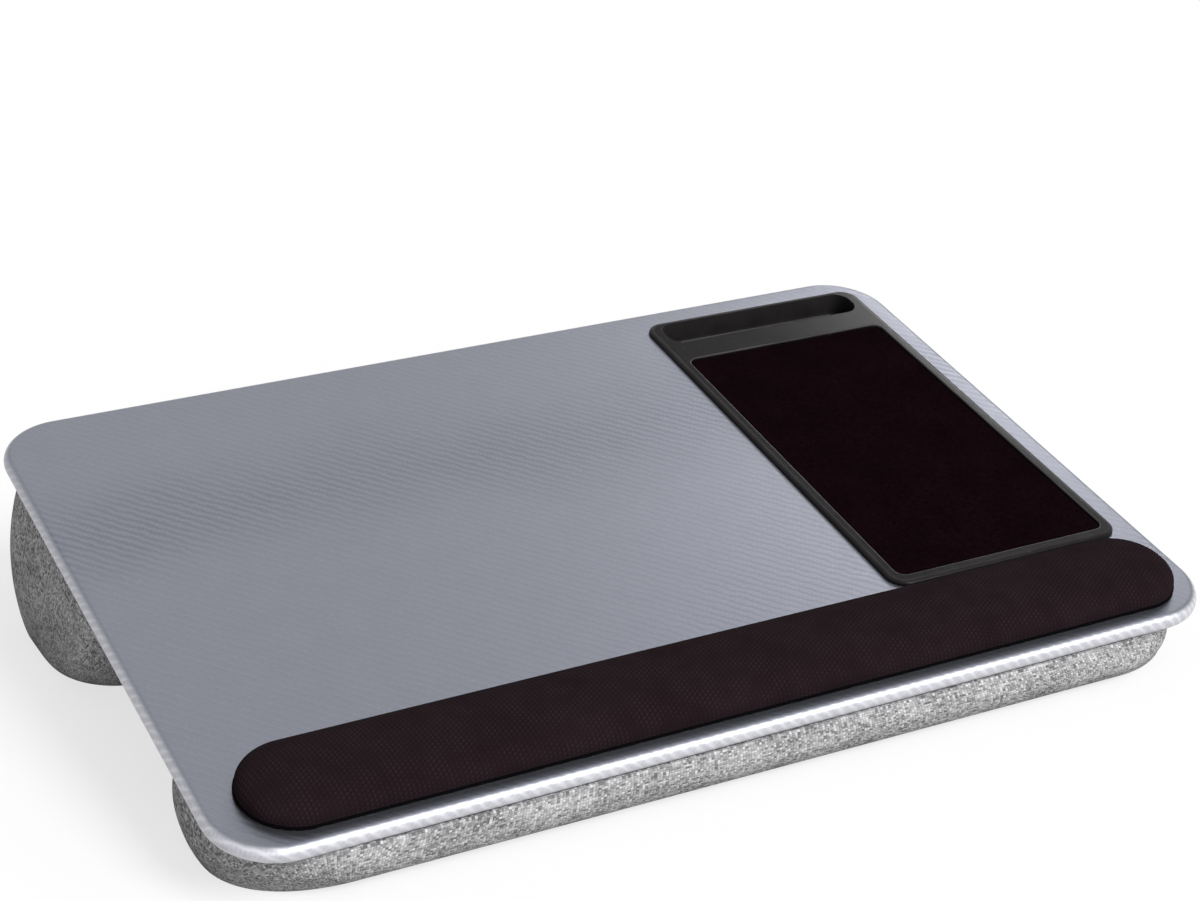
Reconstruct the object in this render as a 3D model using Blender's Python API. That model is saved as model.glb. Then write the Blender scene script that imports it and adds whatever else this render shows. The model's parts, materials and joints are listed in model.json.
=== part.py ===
"""Lap desk: a film-wrapped board that stands tilted on two stuffed cushions.

On the board are a moulded tray with a mouse pad and a device slot, and a padded wrist rest. Lengths are
in metres and z is up. The pieces are modelled in the board's own frame: x to the right, y to the rear,
z along the board's normal, with z = 0 on the board's top face. The empty desk_frame tilts that frame and
stands it on the floor.
"""

import math

import bmesh
import bpy
import numpy as np

# Board
board_width = 0.536
board_depth = 0.356
board_thickness = 0.009
board_corner = 0.034
film_thickness = 0.0005
film_turn_under = 0.0155

# Stand
desk_tilt = math.radians(11.75)
centre_height = 0.0705  # from the board's top to the floor, along the normal at the board's centre
floor_flat_cut = 0.0005  # how much of each cushion's crown the floor presses flat

# Gaps
seat_gap = 0.0003  # between faces that touch
fit_clearance = 0.0005  # round a piece that stands in an opening
cut_overrun = 0.002  # how far a cutter passes the face that it cuts
weld_distance = seat_gap / 1000  # points nearer than this are one point

# Tray
tray_width = 0.142
tray_rest_gap = 0.0058  # from the tray to the wrist rest
tray_side_margin = 0.0145  # from the tray to the board's right edge
tray_rear_margin = 0.0165  # from the tray to the board's rear edge
tray_corner = 0.0105
tray_rise = 0.0025  # how far the rim stands above the board
tray_flange_overlap = 0.0018
tray_shoulder_width = 0.0028
tray_shoulder_drop = 0.0016
tray_floor = 0.0018
side_rim_width = 0.0065
front_rim_width = 0.007
lip_round = 0.0008
slot_end_rim = 0.0075  # from the slot to the tray's side
slot_width = 0.0212
slot_corner = 0.009
slot_depth = 0.0145
slot_wall = 0.0015
slot_rear_rim = 0.0033
slot_floor_round = 0.003
land_width = 0.018

# Mouse pad
pad_corner = 0.0055
pad_recess = 0.0013  # from the tray's rim down to the cloth
pad_cloth_thickness = 0.0008
pad_foam_thickness = 0.0016
pad_edge_round = 0.0003
tape_thickness = 0.0003

# Tray screws
screw_radius = 0.0011
screw_head_radius = 0.0022
screw_tip = 0.0014
screw_tip_cover = 0.0031  # from the screw's tip up to the tray's rim
screw_pilot_margin = 0.0007  # from the screw's tip to the end of its pilot hole
cross_width = 0.0006
cross_span = 0.0026
cross_depth = 0.0008
front_screw_inset = 0.019  # from the tray's side to a screw of the front pair
land_screw_inset = 0.025  # from the tray's side to a screw of the land pair

# Wrist rest
rest_depth = 0.0545
rest_front_margin = 0.0087  # from the wrist rest to the board's front edge
rest_left_margin = 0.017  # from the wrist rest to the board's left edge
rest_right_margin = 0.013  # from the wrist rest to the board's right edge
rest_base_thickness = 0.0012
rest_cover_inset = 0.0006  # from the base's edge to the cover's
rest_dome_height = 0.0122  # from the base's top to the crest
rest_side_height = 0.0016  # straight part of the cover's side
rest_cover_thickness = 0.0009

# Cushions
cloth_thickness = 0.0012
cushion_glue_inset = 0.012  # from the film's turned-under edge to the glue
cushion_spacing = 0.0663  # between the two cushions, at the backing
front_cushion_end_margin = 0.00675  # from the board's side to the cushion's end
front_cushion_front_margin = 0.0007  # from the board's front edge to the cushion's
front_cushion_depth = 0.124
front_cushion_corner = 0.060
front_cushion_bulge = 0.0048
front_cushion_end_draw = 0.0013
rear_cushion_end_margin = 0.0022  # from the board's side to the cushion's end
rear_cushion_rear_margin = 0.0135  # from the board's rear edge to the cushion's
rear_cushion_front_corner = 0.022
rear_cushion_rear_corner = 0.038
rear_cushion_bulge = 0.0041
rear_cushion_end_draw = 0.0008

# Shares of a size
corner_side_share = 0.499  # the most that a corner takes of its outline's shorter side
rest_crest_share = 0.94  # how far the wrist rest's dome draws in, of half its depth
front_cushion_front_draw_share = 0.097  # how far a side draws in at the floor, of the cushion's depth
front_cushion_rear_draw_share = 0.42
rear_cushion_front_draw_share = 0.47
rear_cushion_rear_draw_share = 0.04

# Superellipse powers of the sections: 2 is round, higher is squarer
front_cushion_power = 3.0
rear_cushion_power = 2.7
rest_power = 2.2

# Faces per quarter turn
corner_steps = 8
cushion_corner_steps = 6
edge_steps = 4
lip_steps = 3
cushion_steps = 9
rest_steps = 6
screw_steps = 16

# Heights, from the board's top down
film_inner_top = -film_thickness
core_top = film_inner_top - seat_gap
core_bottom = -board_thickness + film_thickness + seat_gap
glue_top = core_bottom - seat_gap
glue_bottom = -board_thickness
backing_top = glue_bottom - seat_gap
backing_bottom = backing_top - cloth_thickness
cushion_top = backing_bottom - seat_gap

# Places and heights of the tray and the pad
tray_right = board_width / 2 - tray_side_margin
tray_x = tray_right - tray_width / 2
tray_rear = board_depth / 2 - tray_rear_margin
tray_front = -board_depth / 2 + rest_front_margin + rest_depth + tray_rest_gap
tray_length = tray_rear - tray_front
tray_y = (tray_front + tray_rear) / 2
slot_length = tray_width - 2 * slot_end_rim
slot_rear = tray_rear - slot_rear_rim
slot_y = slot_rear - slot_width / 2
pocket_rear = slot_rear - slot_width - land_width
pocket_front = tray_front + front_rim_width
pocket_y = (pocket_front + pocket_rear) / 2
pocket_width = tray_width - 2 * side_rim_width
pocket_length = pocket_rear - pocket_front
land_y = pocket_rear + land_width / 2
pad_top = tray_rise - pad_recess
cloth_bottom = pad_top - pad_cloth_thickness
foam_top = cloth_bottom - seat_gap
foam_bottom = foam_top - pad_foam_thickness
pad_tape_top = foam_bottom - seat_gap
pad_tape_bottom = pad_tape_top - tape_thickness
pocket_floor = pad_tape_bottom - seat_gap
tub_bottom = pocket_floor - tray_floor
slot_floor = tray_rise - slot_depth
trough_bottom = slot_floor - slot_wall
side_screw_inset = (tray_flange_overlap + side_rim_width) / 2  # in the middle of the rim's solid part
screw_end = tray_rise - screw_tip_cover

# Places and heights of the wrist rest
rest_length = board_width - rest_left_margin - rest_right_margin
rest_x = (rest_left_margin - rest_right_margin) / 2
rest_y = -board_depth / 2 + rest_front_margin + rest_depth / 2
rest_tape_bottom = seat_gap
rest_tape_top = rest_tape_bottom + tape_thickness
rest_base_bottom = rest_tape_top + seat_gap
rest_base_top = rest_base_bottom + rest_base_thickness
rest_cover_bottom = rest_base_top + seat_gap
rest_top = rest_base_top + rest_dome_height

# Places of the cushions
front_cushion_front = front_cushion_front_margin - board_depth / 2
front_cushion_rear = front_cushion_front + front_cushion_depth
rear_cushion_front = front_cushion_rear + cushion_spacing
rear_cushion_rear = board_depth / 2 - rear_cushion_rear_margin
rear_cushion_depth = rear_cushion_rear - rear_cushion_front

# Colour, roughness and metallic value of each material
finishes = {
    "film": ((0.30, 0.31, 0.33), 0.38, 0.35),
    "board": ((0.45, 0.33, 0.20), 0.80, 0.0),
    "tray_plastic": ((0.035, 0.033, 0.034), 0.45, 0.0),
    "pad_cloth": ((0.010, 0.006, 0.007), 0.90, 0.0),
    "foam_rubber": ((0.02, 0.02, 0.02), 0.85, 0.0),
    "adhesive": ((0.75, 0.72, 0.62), 0.55, 0.0),
    "screw_steel": ((0.55, 0.55, 0.56), 0.30, 1.0),
    "rest_cloth": ((0.024, 0.016, 0.018), 0.85, 0.0),
    "rest_foam": ((0.62, 0.60, 0.52), 0.90, 0.0),
    "cushion_cloth": ((0.30, 0.29, 0.28), 0.95, 0.0),
    "backing_cloth": ((0.22, 0.21, 0.20), 0.95, 0.0),
    "cushion_filling": ((0.80, 0.80, 0.78), 0.90, 0.0),
}


def clear_scene():
    for obj in list(bpy.data.objects):
        bpy.data.objects.remove(obj, do_unlink=True)


def make_materials():
    made = {}
    for name, (colour, roughness, metallic) in finishes.items():
        material = bpy.data.materials.new(name)
        material.use_nodes = True
        shader = material.node_tree.nodes["Principled BSDF"]
        shader.inputs["Base Color"].default_value = (*colour, 1)
        shader.inputs["Roughness"].default_value = roughness
        shader.inputs["Metallic"].default_value = metallic
        made[name] = material
    return made


def rounded_outline(x_half, y_front, y_rear, front_corner, rear_corner, steps):
    """Points of a rectangle with round corners, counter-clockwise from its right rear corner.

    The rectangle is centred on x = 0 and runs from y_front to y_rear.
    """
    room = corner_side_share * min(2 * x_half, y_rear - y_front)
    front, rear = min(front_corner, room), min(rear_corner, room)
    corners = (
        (x_half - rear, y_rear - rear, rear, 0),
        (rear - x_half, y_rear - rear, rear, 1),
        (front - x_half, y_front + front, front, 2),
        (x_half - front, y_front + front, front, 3),
    )
    points = []
    for x, y, radius, quarter in corners:
        turn = (quarter + np.linspace(0, 1, steps + 1)) * math.pi / 2
        points.append(np.column_stack([x + radius * np.cos(turn), y + radius * np.sin(turn)]))
    return np.concatenate(points)


def centred_outline(width, length, corner):
    return rounded_outline(width / 2, -length / 2, length / 2, corner, corner, corner_steps)


def ring(outline, z):
    """The outline at height z, which is a number or a height for each point."""
    return np.column_stack([outline, np.broadcast_to(z, len(outline))])


def new_object(name, mesh_builder, material, place=(0, 0, 0)):
    mesh = bpy.data.meshes.new(name)
    mesh_builder.to_mesh(mesh)
    mesh_builder.free()
    mesh.shade_smooth()
    mesh.set_sharp_from_angle(angle=math.radians(35))
    obj = bpy.data.objects.new(name, mesh)
    bpy.context.scene.collection.objects.link(obj)
    if material:
        mesh.materials.append(material)
    obj.parent = desk_frame
    obj.location = place
    return obj


def skin(rings):
    """A closed body through the rings, from the lowest to the highest, with a flat cap at each end."""
    builder = bmesh.new()
    loops = []
    for points in rings:
        verts = [builder.verts.new(point) for point in points]
        loops.append(verts)
    for low, high in zip(loops, loops[1:]):
        for i, start in enumerate(low):
            after = (i + 1) % len(low)
            builder.faces.new((start, low[after], high[after], high[i]))
    builder.faces.new(reversed(loops[0]))
    builder.faces.new(loops[-1])
    bmesh.ops.dissolve_degenerate(builder, dist=weld_distance, edges=builder.edges)
    bmesh.ops.recalc_face_normals(builder, faces=builder.faces)
    return builder


def plate(outline, bottom, top):
    """The outline as a face, extruded from the bottom height to the top height."""
    builder = bmesh.new()
    face = builder.faces.new([builder.verts.new(point) for point in ring(outline, bottom)])
    grown = bmesh.ops.extrude_face_region(builder, geom=[face])["geom"]
    verts = [item for item in grown if isinstance(item, bmesh.types.BMVert)]
    bmesh.ops.translate(builder, verts=verts, vec=(0, 0, top - bottom))
    bmesh.ops.recalc_face_normals(builder, faces=builder.faces)
    return builder


def helper(name, mesh_builder, place=(0, 0, 0)):
    """A shape that cuts or joins another object and isn't itself a piece."""
    obj = new_object(name, mesh_builder, None, place)
    obj.hide_render = True
    obj.display_type = "WIRE"
    return obj


def combine(obj, other, operation):
    modifier = obj.modifiers.new(f"{operation.lower()}_{other.name}", "BOOLEAN")
    modifier.operation = operation
    modifier.solver = "EXACT"
    modifier.object = other


def bullnose_rings(width, depth, corner, bottom, top):
    """Rings of a slab whose edge is a half round between the bottom and the top height."""
    radius = (top - bottom) / 2
    rings = []
    for turn in np.linspace(-math.pi / 2, math.pi / 2, 2 * edge_steps + 1):
        inset = radius * (1 - math.cos(turn))
        outline = centred_outline(width - 2 * inset, depth - 2 * inset, corner - inset)
        rings.append(ring(outline, (top + bottom) / 2 + radius * math.sin(turn)))
    return rings


def opening_rings(width, length, corner, bottom, foot_round=0):
    """Rings of a cutter for an opening in the tray, which the lip's round widens at the rim.

    A foot round draws its lowest edge in along a quarter circle.
    """
    rings = []
    if foot_round:
        for turn in np.linspace(0, math.pi / 2, lip_steps + 1)[:-1]:
            inset = foot_round * (1 - math.sin(turn))
            outline = centred_outline(width - 2 * inset, length - 2 * inset, corner - inset)
            rings.append(ring(outline, bottom + foot_round * (1 - math.cos(turn))))
    for turn in np.linspace(0, math.pi / 2, lip_steps + 1):
        grow = lip_round * (1 - math.cos(turn))
        outline = centred_outline(width + 2 * grow, length + 2 * grow, corner + grow)
        if turn == 0 and not foot_round:
            rings.append(ring(outline, bottom))
        rings.append(ring(outline, tray_rise - lip_round + lip_round * math.sin(turn)))
    rings.append(ring(outline, tray_rise + cut_overrun))
    return rings


def make_cutters():
    """The openings that several pieces share: the tray's pocket and the trough's hole."""
    tub_width = tray_width - 2 * tray_flange_overlap
    tub_length = tray_length - 2 * tray_flange_overlap
    tub_corner = tray_corner - tray_flange_overlap
    room = 2 * fit_clearance
    pocket = helper(
        "tray_pocket",
        plate(
            centred_outline(tub_width + room, tub_length + room, tub_corner + fit_clearance),
            tub_bottom - seat_gap,
            cut_overrun,
        ),
        (tray_x, tray_y, 0),
    )
    trough_room = 2 * (slot_wall + fit_clearance)
    hole = helper(
        "trough_hole",
        plate(
            centred_outline(
                slot_length + trough_room, slot_width + trough_room, slot_corner + trough_room / 2
            ),
            trough_bottom - fit_clearance,
            tub_bottom + cut_overrun,
        ),
        (tray_x, slot_y, 0),
    )
    return pocket, hole


def screw_places():
    """The six screws: a pair in the front rim, one in each side rim and a pair in the land."""
    front_rim_y = tray_front + (tray_flange_overlap + front_rim_width) / 2
    places = []
    for inset, y in (
        (front_screw_inset, front_rim_y),
        (side_screw_inset, pocket_y),
        (land_screw_inset, land_y),
    ):
        spread = tray_width / 2 - inset
        places += [(tray_x - spread, y), (tray_x + spread, y)]
    return places


def turned(profile, steps):
    """A closed body made by spinning a profile of (radius, height) pairs, whose ends are on the axis."""
    builder = bmesh.new()
    verts = [builder.verts.new((radius, 0, height)) for radius, height in profile]
    edges = [builder.edges.new(pair) for pair in zip(verts, verts[1:])]
    bmesh.ops.spin(
        builder,
        geom=verts + edges,
        cent=(0, 0, 0),
        axis=(0, 0, 1),
        angle=2 * math.pi,
        steps=steps,
        use_merge=True,
    )
    bmesh.ops.remove_doubles(builder, verts=builder.verts, dist=weld_distance)
    bmesh.ops.recalc_face_normals(builder, faces=builder.faces)
    return builder


def screw_profile(grow, tip_margin):
    """Profile of a countersunk screw, head down, grown by a clearance for its hole."""
    head = screw_head_radius + grow
    shank = screw_radius + grow
    end = screw_end + tip_margin
    foot = core_bottom - (cut_overrun if grow else 0)
    return (
        (0, foot),
        (head, foot),
        (head, core_bottom),
        (shank, core_bottom + head - shank),
        (shank, end - screw_tip),
        (0, end),
    )


def make_board(materials, pocket, hole):
    core = new_object(
        "board_core",
        skin(
            bullnose_rings(
                board_width - 2 * (film_thickness + seat_gap),
                board_depth - 2 * (film_thickness + seat_gap),
                board_corner - film_thickness - seat_gap,
                core_bottom,
                core_top,
            )
        ),
        materials["board"],
    )
    combine(core, pocket, "DIFFERENCE")
    combine(core, hole, "DIFFERENCE")
    film = new_object(
        "board_film",
        skin(bullnose_rings(board_width, board_depth, board_corner, -board_thickness, 0)),
        materials["film"],
    )
    inside = helper(
        "film_inside",
        skin(
            bullnose_rings(
                board_width - 2 * film_thickness,
                board_depth - 2 * film_thickness,
                board_corner - film_thickness,
                film_thickness - board_thickness,
                film_inner_top,
            )
        ),
    )
    under = helper(
        "film_under_opening",
        plate(
            centred_outline(
                board_width - 2 * film_turn_under,
                board_depth - 2 * film_turn_under,
                board_corner - film_turn_under,
            ),
            -board_thickness - cut_overrun,
            -board_thickness / 2,
        ),
    )
    combine(film, inside, "DIFFERENCE")
    combine(film, under, "DIFFERENCE")
    combine(film, pocket, "DIFFERENCE")
    combine(film, hole, "DIFFERENCE")
    return core


def make_tray(materials):
    rings = []
    for turn in np.linspace(0, math.pi / 2, edge_steps + 1):
        inset = tray_shoulder_width * (1 - math.cos(turn))
        outline = centred_outline(tray_width - 2 * inset, tray_length - 2 * inset, tray_corner - inset)
        height = tray_rise - tray_shoulder_drop + tray_shoulder_drop * math.sin(turn)
        if turn == 0:
            rings.append(ring(outline, seat_gap))
        rings.append(ring(outline, height))
    tray = new_object("tray", skin(rings), materials["tray_plastic"], (tray_x, tray_y, 0))
    tub = helper(
        "tray_tub",
        plate(
            centred_outline(
                tray_width - 2 * tray_flange_overlap,
                tray_length - 2 * tray_flange_overlap,
                tray_corner - tray_flange_overlap,
            ),
            tub_bottom,
            tray_rise / 2,
        ),
        (tray_x, tray_y, 0),
    )
    trough = helper(
        "tray_trough",
        plate(
            centred_outline(
                slot_length + 2 * slot_wall, slot_width + 2 * slot_wall, slot_corner + slot_wall
            ),
            trough_bottom,
            tray_rise / 3,
        ),
        (tray_x, slot_y, 0),
    )
    recess = helper(
        "pad_recess",
        skin(opening_rings(pocket_width, pocket_length, pad_corner, pocket_floor)),
        (tray_x, pocket_y, 0),
    )
    slot = helper(
        "device_slot",
        skin(opening_rings(slot_length, slot_width, slot_corner, slot_floor, slot_floor_round)),
        (tray_x, slot_y, 0),
    )
    combine(tray, tub, "UNION")
    combine(tray, trough, "UNION")
    combine(tray, recess, "DIFFERENCE")
    combine(tray, slot, "DIFFERENCE")
    return tray


def make_screws(materials, core, tray):
    """Six screws, head down in the board's underside, with their holes in the board and the tray."""
    for number, (x, y) in enumerate(screw_places(), start=1):
        screw = new_object(
            f"tray_screw_{number}",
            turned(screw_profile(0, 0), screw_steps),
            materials["screw_steel"],
            (x, y, 0),
        )
        for name, size in (
            ("across", (cross_span, cross_width)),
            ("along", (cross_width, cross_span)),
        ):
            x_half, y_half = size[0] / 2, size[1] / 2
            outline = [(-x_half, -y_half), (x_half, -y_half), (x_half, y_half), (-x_half, y_half)]
            cross = helper(
                f"screw_{number}_recess_{name}",
                plate(outline, core_bottom - cut_overrun, core_bottom + cross_depth),
                (x, y, 0),
            )
            combine(screw, cross, "DIFFERENCE")
        hole = helper(
            f"screw_{number}_hole",
            turned(screw_profile(seat_gap, screw_pilot_margin), screw_steps),
            (x, y, 0),
        )
        combine(core, hole, "DIFFERENCE")
        combine(tray, hole, "DIFFERENCE")


def make_pad(materials):
    """Cloth, foam and adhesive sheet, each a little smaller than the recess."""
    width = pocket_width - 2 * seat_gap
    length = pocket_length - 2 * seat_gap
    corner = pad_corner - seat_gap
    place = (tray_x, pocket_y, 0)
    rings = [ring(centred_outline(width, length, corner), cloth_bottom)]
    for turn in np.linspace(0, math.pi / 2, lip_steps):
        inset = pad_edge_round * (1 - math.cos(turn))
        outline = centred_outline(width - 2 * inset, length - 2 * inset, corner - inset)
        rings.append(ring(outline, pad_top - pad_edge_round + pad_edge_round * math.sin(turn)))
    new_object("mouse_pad_cloth", skin(rings), materials["pad_cloth"], place)
    new_object(
        "mouse_pad_foam",
        plate(centred_outline(width, length, corner), foam_bottom, foam_top),
        materials["foam_rubber"],
        place,
    )
    inset = 2 * pad_edge_round
    new_object(
        "mouse_pad_adhesive",
        plate(
            centred_outline(width - 2 * inset, length - 2 * inset, corner - inset),
            pad_tape_bottom,
            pad_tape_top,
        ),
        materials["adhesive"],
        place,
    )


def dome_rings(inset, bottom, top):
    """Rings of the wrist rest's dome, which rises from a straight side to a narrow crest.

    Its outline has half-round ends, and its section is a superellipse.
    """
    half_depth = rest_depth / 2 - rest_cover_inset - inset
    half_length = rest_length / 2 - rest_cover_inset - inset
    shoulder = rest_cover_bottom + rest_side_height
    rings = []
    for turn in np.linspace(0, math.pi / 2, rest_steps + 1):
        draw = half_depth * rest_crest_share * (1 - math.cos(turn) ** (2 / rest_power))
        rise = (top - shoulder) * math.sin(turn) ** (2 / rest_power)
        depth, length = half_depth - draw, half_length - draw
        outline = rounded_outline(length, -depth, depth, depth, depth, corner_steps)
        if turn == 0:
            rings.append(ring(outline, bottom))
        rings.append(ring(outline, shoulder + rise))
    return rings


def make_wrist_rest(materials):
    place = (rest_x, rest_y, 0)
    half_depth = rest_depth / 2
    flat = rounded_outline(rest_length / 2, -half_depth, half_depth, half_depth, half_depth, corner_steps)
    inner = half_depth - rest_cover_inset
    tape = rounded_outline(rest_length / 2 - rest_cover_inset, -inner, inner, inner, inner, corner_steps)
    new_object(
        "wrist_rest_adhesive",
        plate(tape, rest_tape_bottom, rest_tape_top),
        materials["adhesive"],
        place,
    )
    new_object(
        "wrist_rest_base",
        plate(flat, rest_base_bottom, rest_base_top),
        materials["foam_rubber"],
        place,
    )
    cover = new_object(
        "wrist_rest_cover",
        skin(dome_rings(0, rest_cover_bottom, rest_top)),
        materials["rest_cloth"],
        place,
    )
    hollow_top = rest_top - rest_cover_thickness
    inside = helper(
        "wrist_rest_inside",
        skin(dome_rings(rest_cover_thickness, rest_cover_bottom - cut_overrun, hollow_top)),
        place,
    )
    combine(cover, inside, "DIFFERENCE")
    under = rest_cover_thickness + seat_gap
    new_object(
        "wrist_rest_foam",
        skin(dome_rings(under, rest_cover_bottom, rest_top - under)),
        materials["rest_foam"],
        place,
    )


def floor_height(y):
    """Height of the floor in the board's frame, at a distance y to the rear of the board's middle."""
    return -centre_height - y * math.tan(desk_tilt)


class Cushion:
    """A stuffed cushion between the board and the floor.

    Its section rings draw in towards the floor along a superellipse, and its sides bulge between the
    board and the floor.
    """

    def __init__(self, name, length, front, rear, corners, bulge, draws, power):
        self.name = name
        self.half_length = length / 2
        self.front = front
        self.rear = rear
        self.front_corner, self.rear_corner = corners
        self.bulge = bulge
        self.front_draw, self.rear_draw, self.end_draw = draws
        self.power = power

    def rings(self, inset, top):
        """Rings from below the floor up to the top, drawn in by the inset on every side."""
        rings = []
        for turn in np.linspace(math.pi / 2, 0, cushion_steps + 1):
            depth_share = math.sin(turn) ** (2 / self.power)
            draw_share = 1 - math.cos(turn) ** (2 / self.power)
            swell = self.bulge * 4 * depth_share * (1 - depth_share)
            outline = rounded_outline(
                self.half_length - self.end_draw * draw_share + swell - inset,
                self.front + self.front_draw * draw_share - swell + inset,
                self.rear - self.rear_draw * draw_share + swell - inset,
                self.front_corner - inset,
                self.rear_corner - inset,
                cushion_corner_steps,
            )
            lowest = floor_height(outline[:, 1]) - floor_flat_cut + inset
            rings.append(ring(outline, cushion_top + (lowest - cushion_top) * depth_share))
        if top > cushion_top:
            rings.append(ring(outline, top))
        return rings

    def body(self, inset, top=cushion_top):
        """The closed form, cut flat where it reaches the floor, or that plane raised by the inset."""
        builder = skin(self.rings(inset, top))
        level = floor_height(0) + inset
        geometry = list(builder.verts) + list(builder.edges) + list(builder.faces)
        cut = bmesh.ops.bisect_plane(
            builder,
            geom=geometry,
            dist=weld_distance,
            plane_co=(0, 0, level),
            plane_no=(0, -math.sin(desk_tilt), -math.cos(desk_tilt)),
            clear_outer=True,
        )
        edges = [item for item in cut["geom_cut"] if isinstance(item, bmesh.types.BMEdge)]
        bmesh.ops.contextual_create(builder, geom=edges)
        bmesh.ops.recalc_face_normals(builder, faces=builder.faces)
        return builder

    def make(self, materials):
        """Its cover, open at the top where it is sewn to the backing, and its filling."""
        cover = new_object(f"{self.name}_cover", self.body(0), materials["cushion_cloth"])
        inside = helper(f"{self.name}_inside", self.body(cloth_thickness, cushion_top + cut_overrun))
        combine(cover, inside, "DIFFERENCE")
        filling = new_object(
            f"{self.name}_filling",
            self.body(cloth_thickness + seat_gap),
            materials["cushion_filling"],
        )
        return cover, filling


def make_cushions(materials, hole):
    """Both cushions, the cloth backing that they are sewn to, and the glue between it and the board."""
    front = Cushion(
        "front_cushion",
        board_width - 2 * front_cushion_end_margin,
        front_cushion_front,
        front_cushion_rear,
        (front_cushion_corner, front_cushion_corner),
        front_cushion_bulge,
        (
            front_cushion_front_draw_share * front_cushion_depth,
            front_cushion_rear_draw_share * front_cushion_depth,
            front_cushion_end_draw,
        ),
        front_cushion_power,
    )
    rear = Cushion(
        "rear_cushion",
        board_width - 2 * rear_cushion_end_margin,
        rear_cushion_front,
        rear_cushion_rear,
        (rear_cushion_front_corner, rear_cushion_rear_corner),
        rear_cushion_bulge,
        (
            rear_cushion_front_draw_share * rear_cushion_depth,
            rear_cushion_rear_draw_share * rear_cushion_depth,
            rear_cushion_end_draw,
        ),
        rear_cushion_power,
    )
    front.make(materials)
    for piece in rear.make(materials):
        combine(piece, hole, "DIFFERENCE")
    backing_outline = rounded_outline(
        rear.half_length,
        front_cushion_front,
        rear_cushion_rear,
        front_cushion_corner,
        rear_cushion_rear_corner,
        corner_steps,
    )
    backing = new_object(
        "cushion_backing",
        plate(backing_outline, backing_bottom, backing_top),
        materials["backing_cloth"],
    )
    combine(backing, hole, "DIFFERENCE")
    glue_margin = film_turn_under + cushion_glue_inset
    glue_outline = centred_outline(
        board_width - 2 * glue_margin,
        board_depth - 2 * glue_margin,
        board_corner - film_turn_under,
    )
    glue = new_object(
        "cushion_adhesive",
        plate(glue_outline, glue_bottom, glue_top),
        materials["adhesive"],
    )
    combine(glue, hole, "DIFFERENCE")


def make_desk_frame():
    """An empty that tilts the board's frame and stands it on the floor."""
    frame = bpy.data.objects.new("desk_frame", None)
    bpy.context.scene.collection.objects.link(frame)
    frame.rotation_euler = (desk_tilt, 0, 0)
    frame.location = (0, 0, centre_height * math.cos(desk_tilt))
    return frame


def centre_front_to_rear():
    """Moves the desk along y until its box lies as far in front of the origin as behind it."""
    bpy.context.view_layer.update()
    reaches = []
    for obj in bpy.data.objects:
        if obj.type == "MESH" and not obj.hide_render:
            reaches += [(obj.matrix_world @ vertex.co).y for vertex in obj.data.vertices]
    desk_frame.location.y -= (min(reaches) + max(reaches)) / 2


clear_scene()
desk_frame = make_desk_frame()
all_materials = make_materials()
tray_pocket, trough_hole = make_cutters()
board_core = make_board(all_materials, tray_pocket, trough_hole)
tray_body = make_tray(all_materials)
make_screws(all_materials, board_core, tray_body)
make_pad(all_materials)
make_wrist_rest(all_materials)
make_cushions(all_materials, trough_hole)
centre_front_to_rear()
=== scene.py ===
"""Lap desk: the looks of a film-covered board that stands tilted on two stuffed cushions.

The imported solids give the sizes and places. This script puts fine surfaces in their places, finishes
each one with a procedural material, and adds a pale floor, soft lights and the camera. Lengths are in
metres. Most pieces are worked out in the board's own frame: x to the right, y to the rear, and z along
the board's normal, with z = 0 on its top face.
"""

import json
import logging
import math
from dataclasses import dataclass, field
from enum import Enum
from typing import Any

import bmesh
import bpy
import numpy as np
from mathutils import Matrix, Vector, geometry

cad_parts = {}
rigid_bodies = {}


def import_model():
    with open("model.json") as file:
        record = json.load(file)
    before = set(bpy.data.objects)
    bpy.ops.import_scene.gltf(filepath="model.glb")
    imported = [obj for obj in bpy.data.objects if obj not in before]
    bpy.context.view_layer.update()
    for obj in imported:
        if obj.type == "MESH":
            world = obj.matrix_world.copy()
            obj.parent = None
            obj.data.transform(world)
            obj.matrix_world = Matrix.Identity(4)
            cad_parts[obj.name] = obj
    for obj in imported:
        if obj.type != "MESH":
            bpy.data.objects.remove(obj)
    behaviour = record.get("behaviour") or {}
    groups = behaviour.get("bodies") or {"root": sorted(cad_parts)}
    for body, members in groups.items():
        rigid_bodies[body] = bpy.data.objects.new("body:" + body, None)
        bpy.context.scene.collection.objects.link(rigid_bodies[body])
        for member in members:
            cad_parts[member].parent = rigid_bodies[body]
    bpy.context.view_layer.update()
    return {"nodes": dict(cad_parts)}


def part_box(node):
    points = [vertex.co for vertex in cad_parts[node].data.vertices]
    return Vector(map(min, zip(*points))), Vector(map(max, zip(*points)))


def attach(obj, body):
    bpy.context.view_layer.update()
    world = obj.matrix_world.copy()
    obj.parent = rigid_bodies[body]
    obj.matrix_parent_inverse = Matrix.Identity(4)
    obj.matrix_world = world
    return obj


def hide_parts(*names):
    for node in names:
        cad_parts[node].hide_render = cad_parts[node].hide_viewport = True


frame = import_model()

log = logging.getLogger("lap_desk")

Pair = tuple[float, float]
Colour = tuple[float, float, float]
Rings = list[np.ndarray]
Socket = bpy.types.NodeSocket

BODY = "root"
WEAVE = "weave"  # corner attribute: where a face's corner lies on the flat cloth or film, in metres
EDGE = "edge"  # corner attribute, from 0 to 1: how much wear a face's corner gets; it also places the film's painted edge highlight and the tray's painted reflection
MERGE = 1e-6  # points nearer than this are one point
SEAT = 0.0003  # gap between faces that touch
SHARP = math.radians(35)  # a steeper fold between two faces is shaded as an edge


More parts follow.
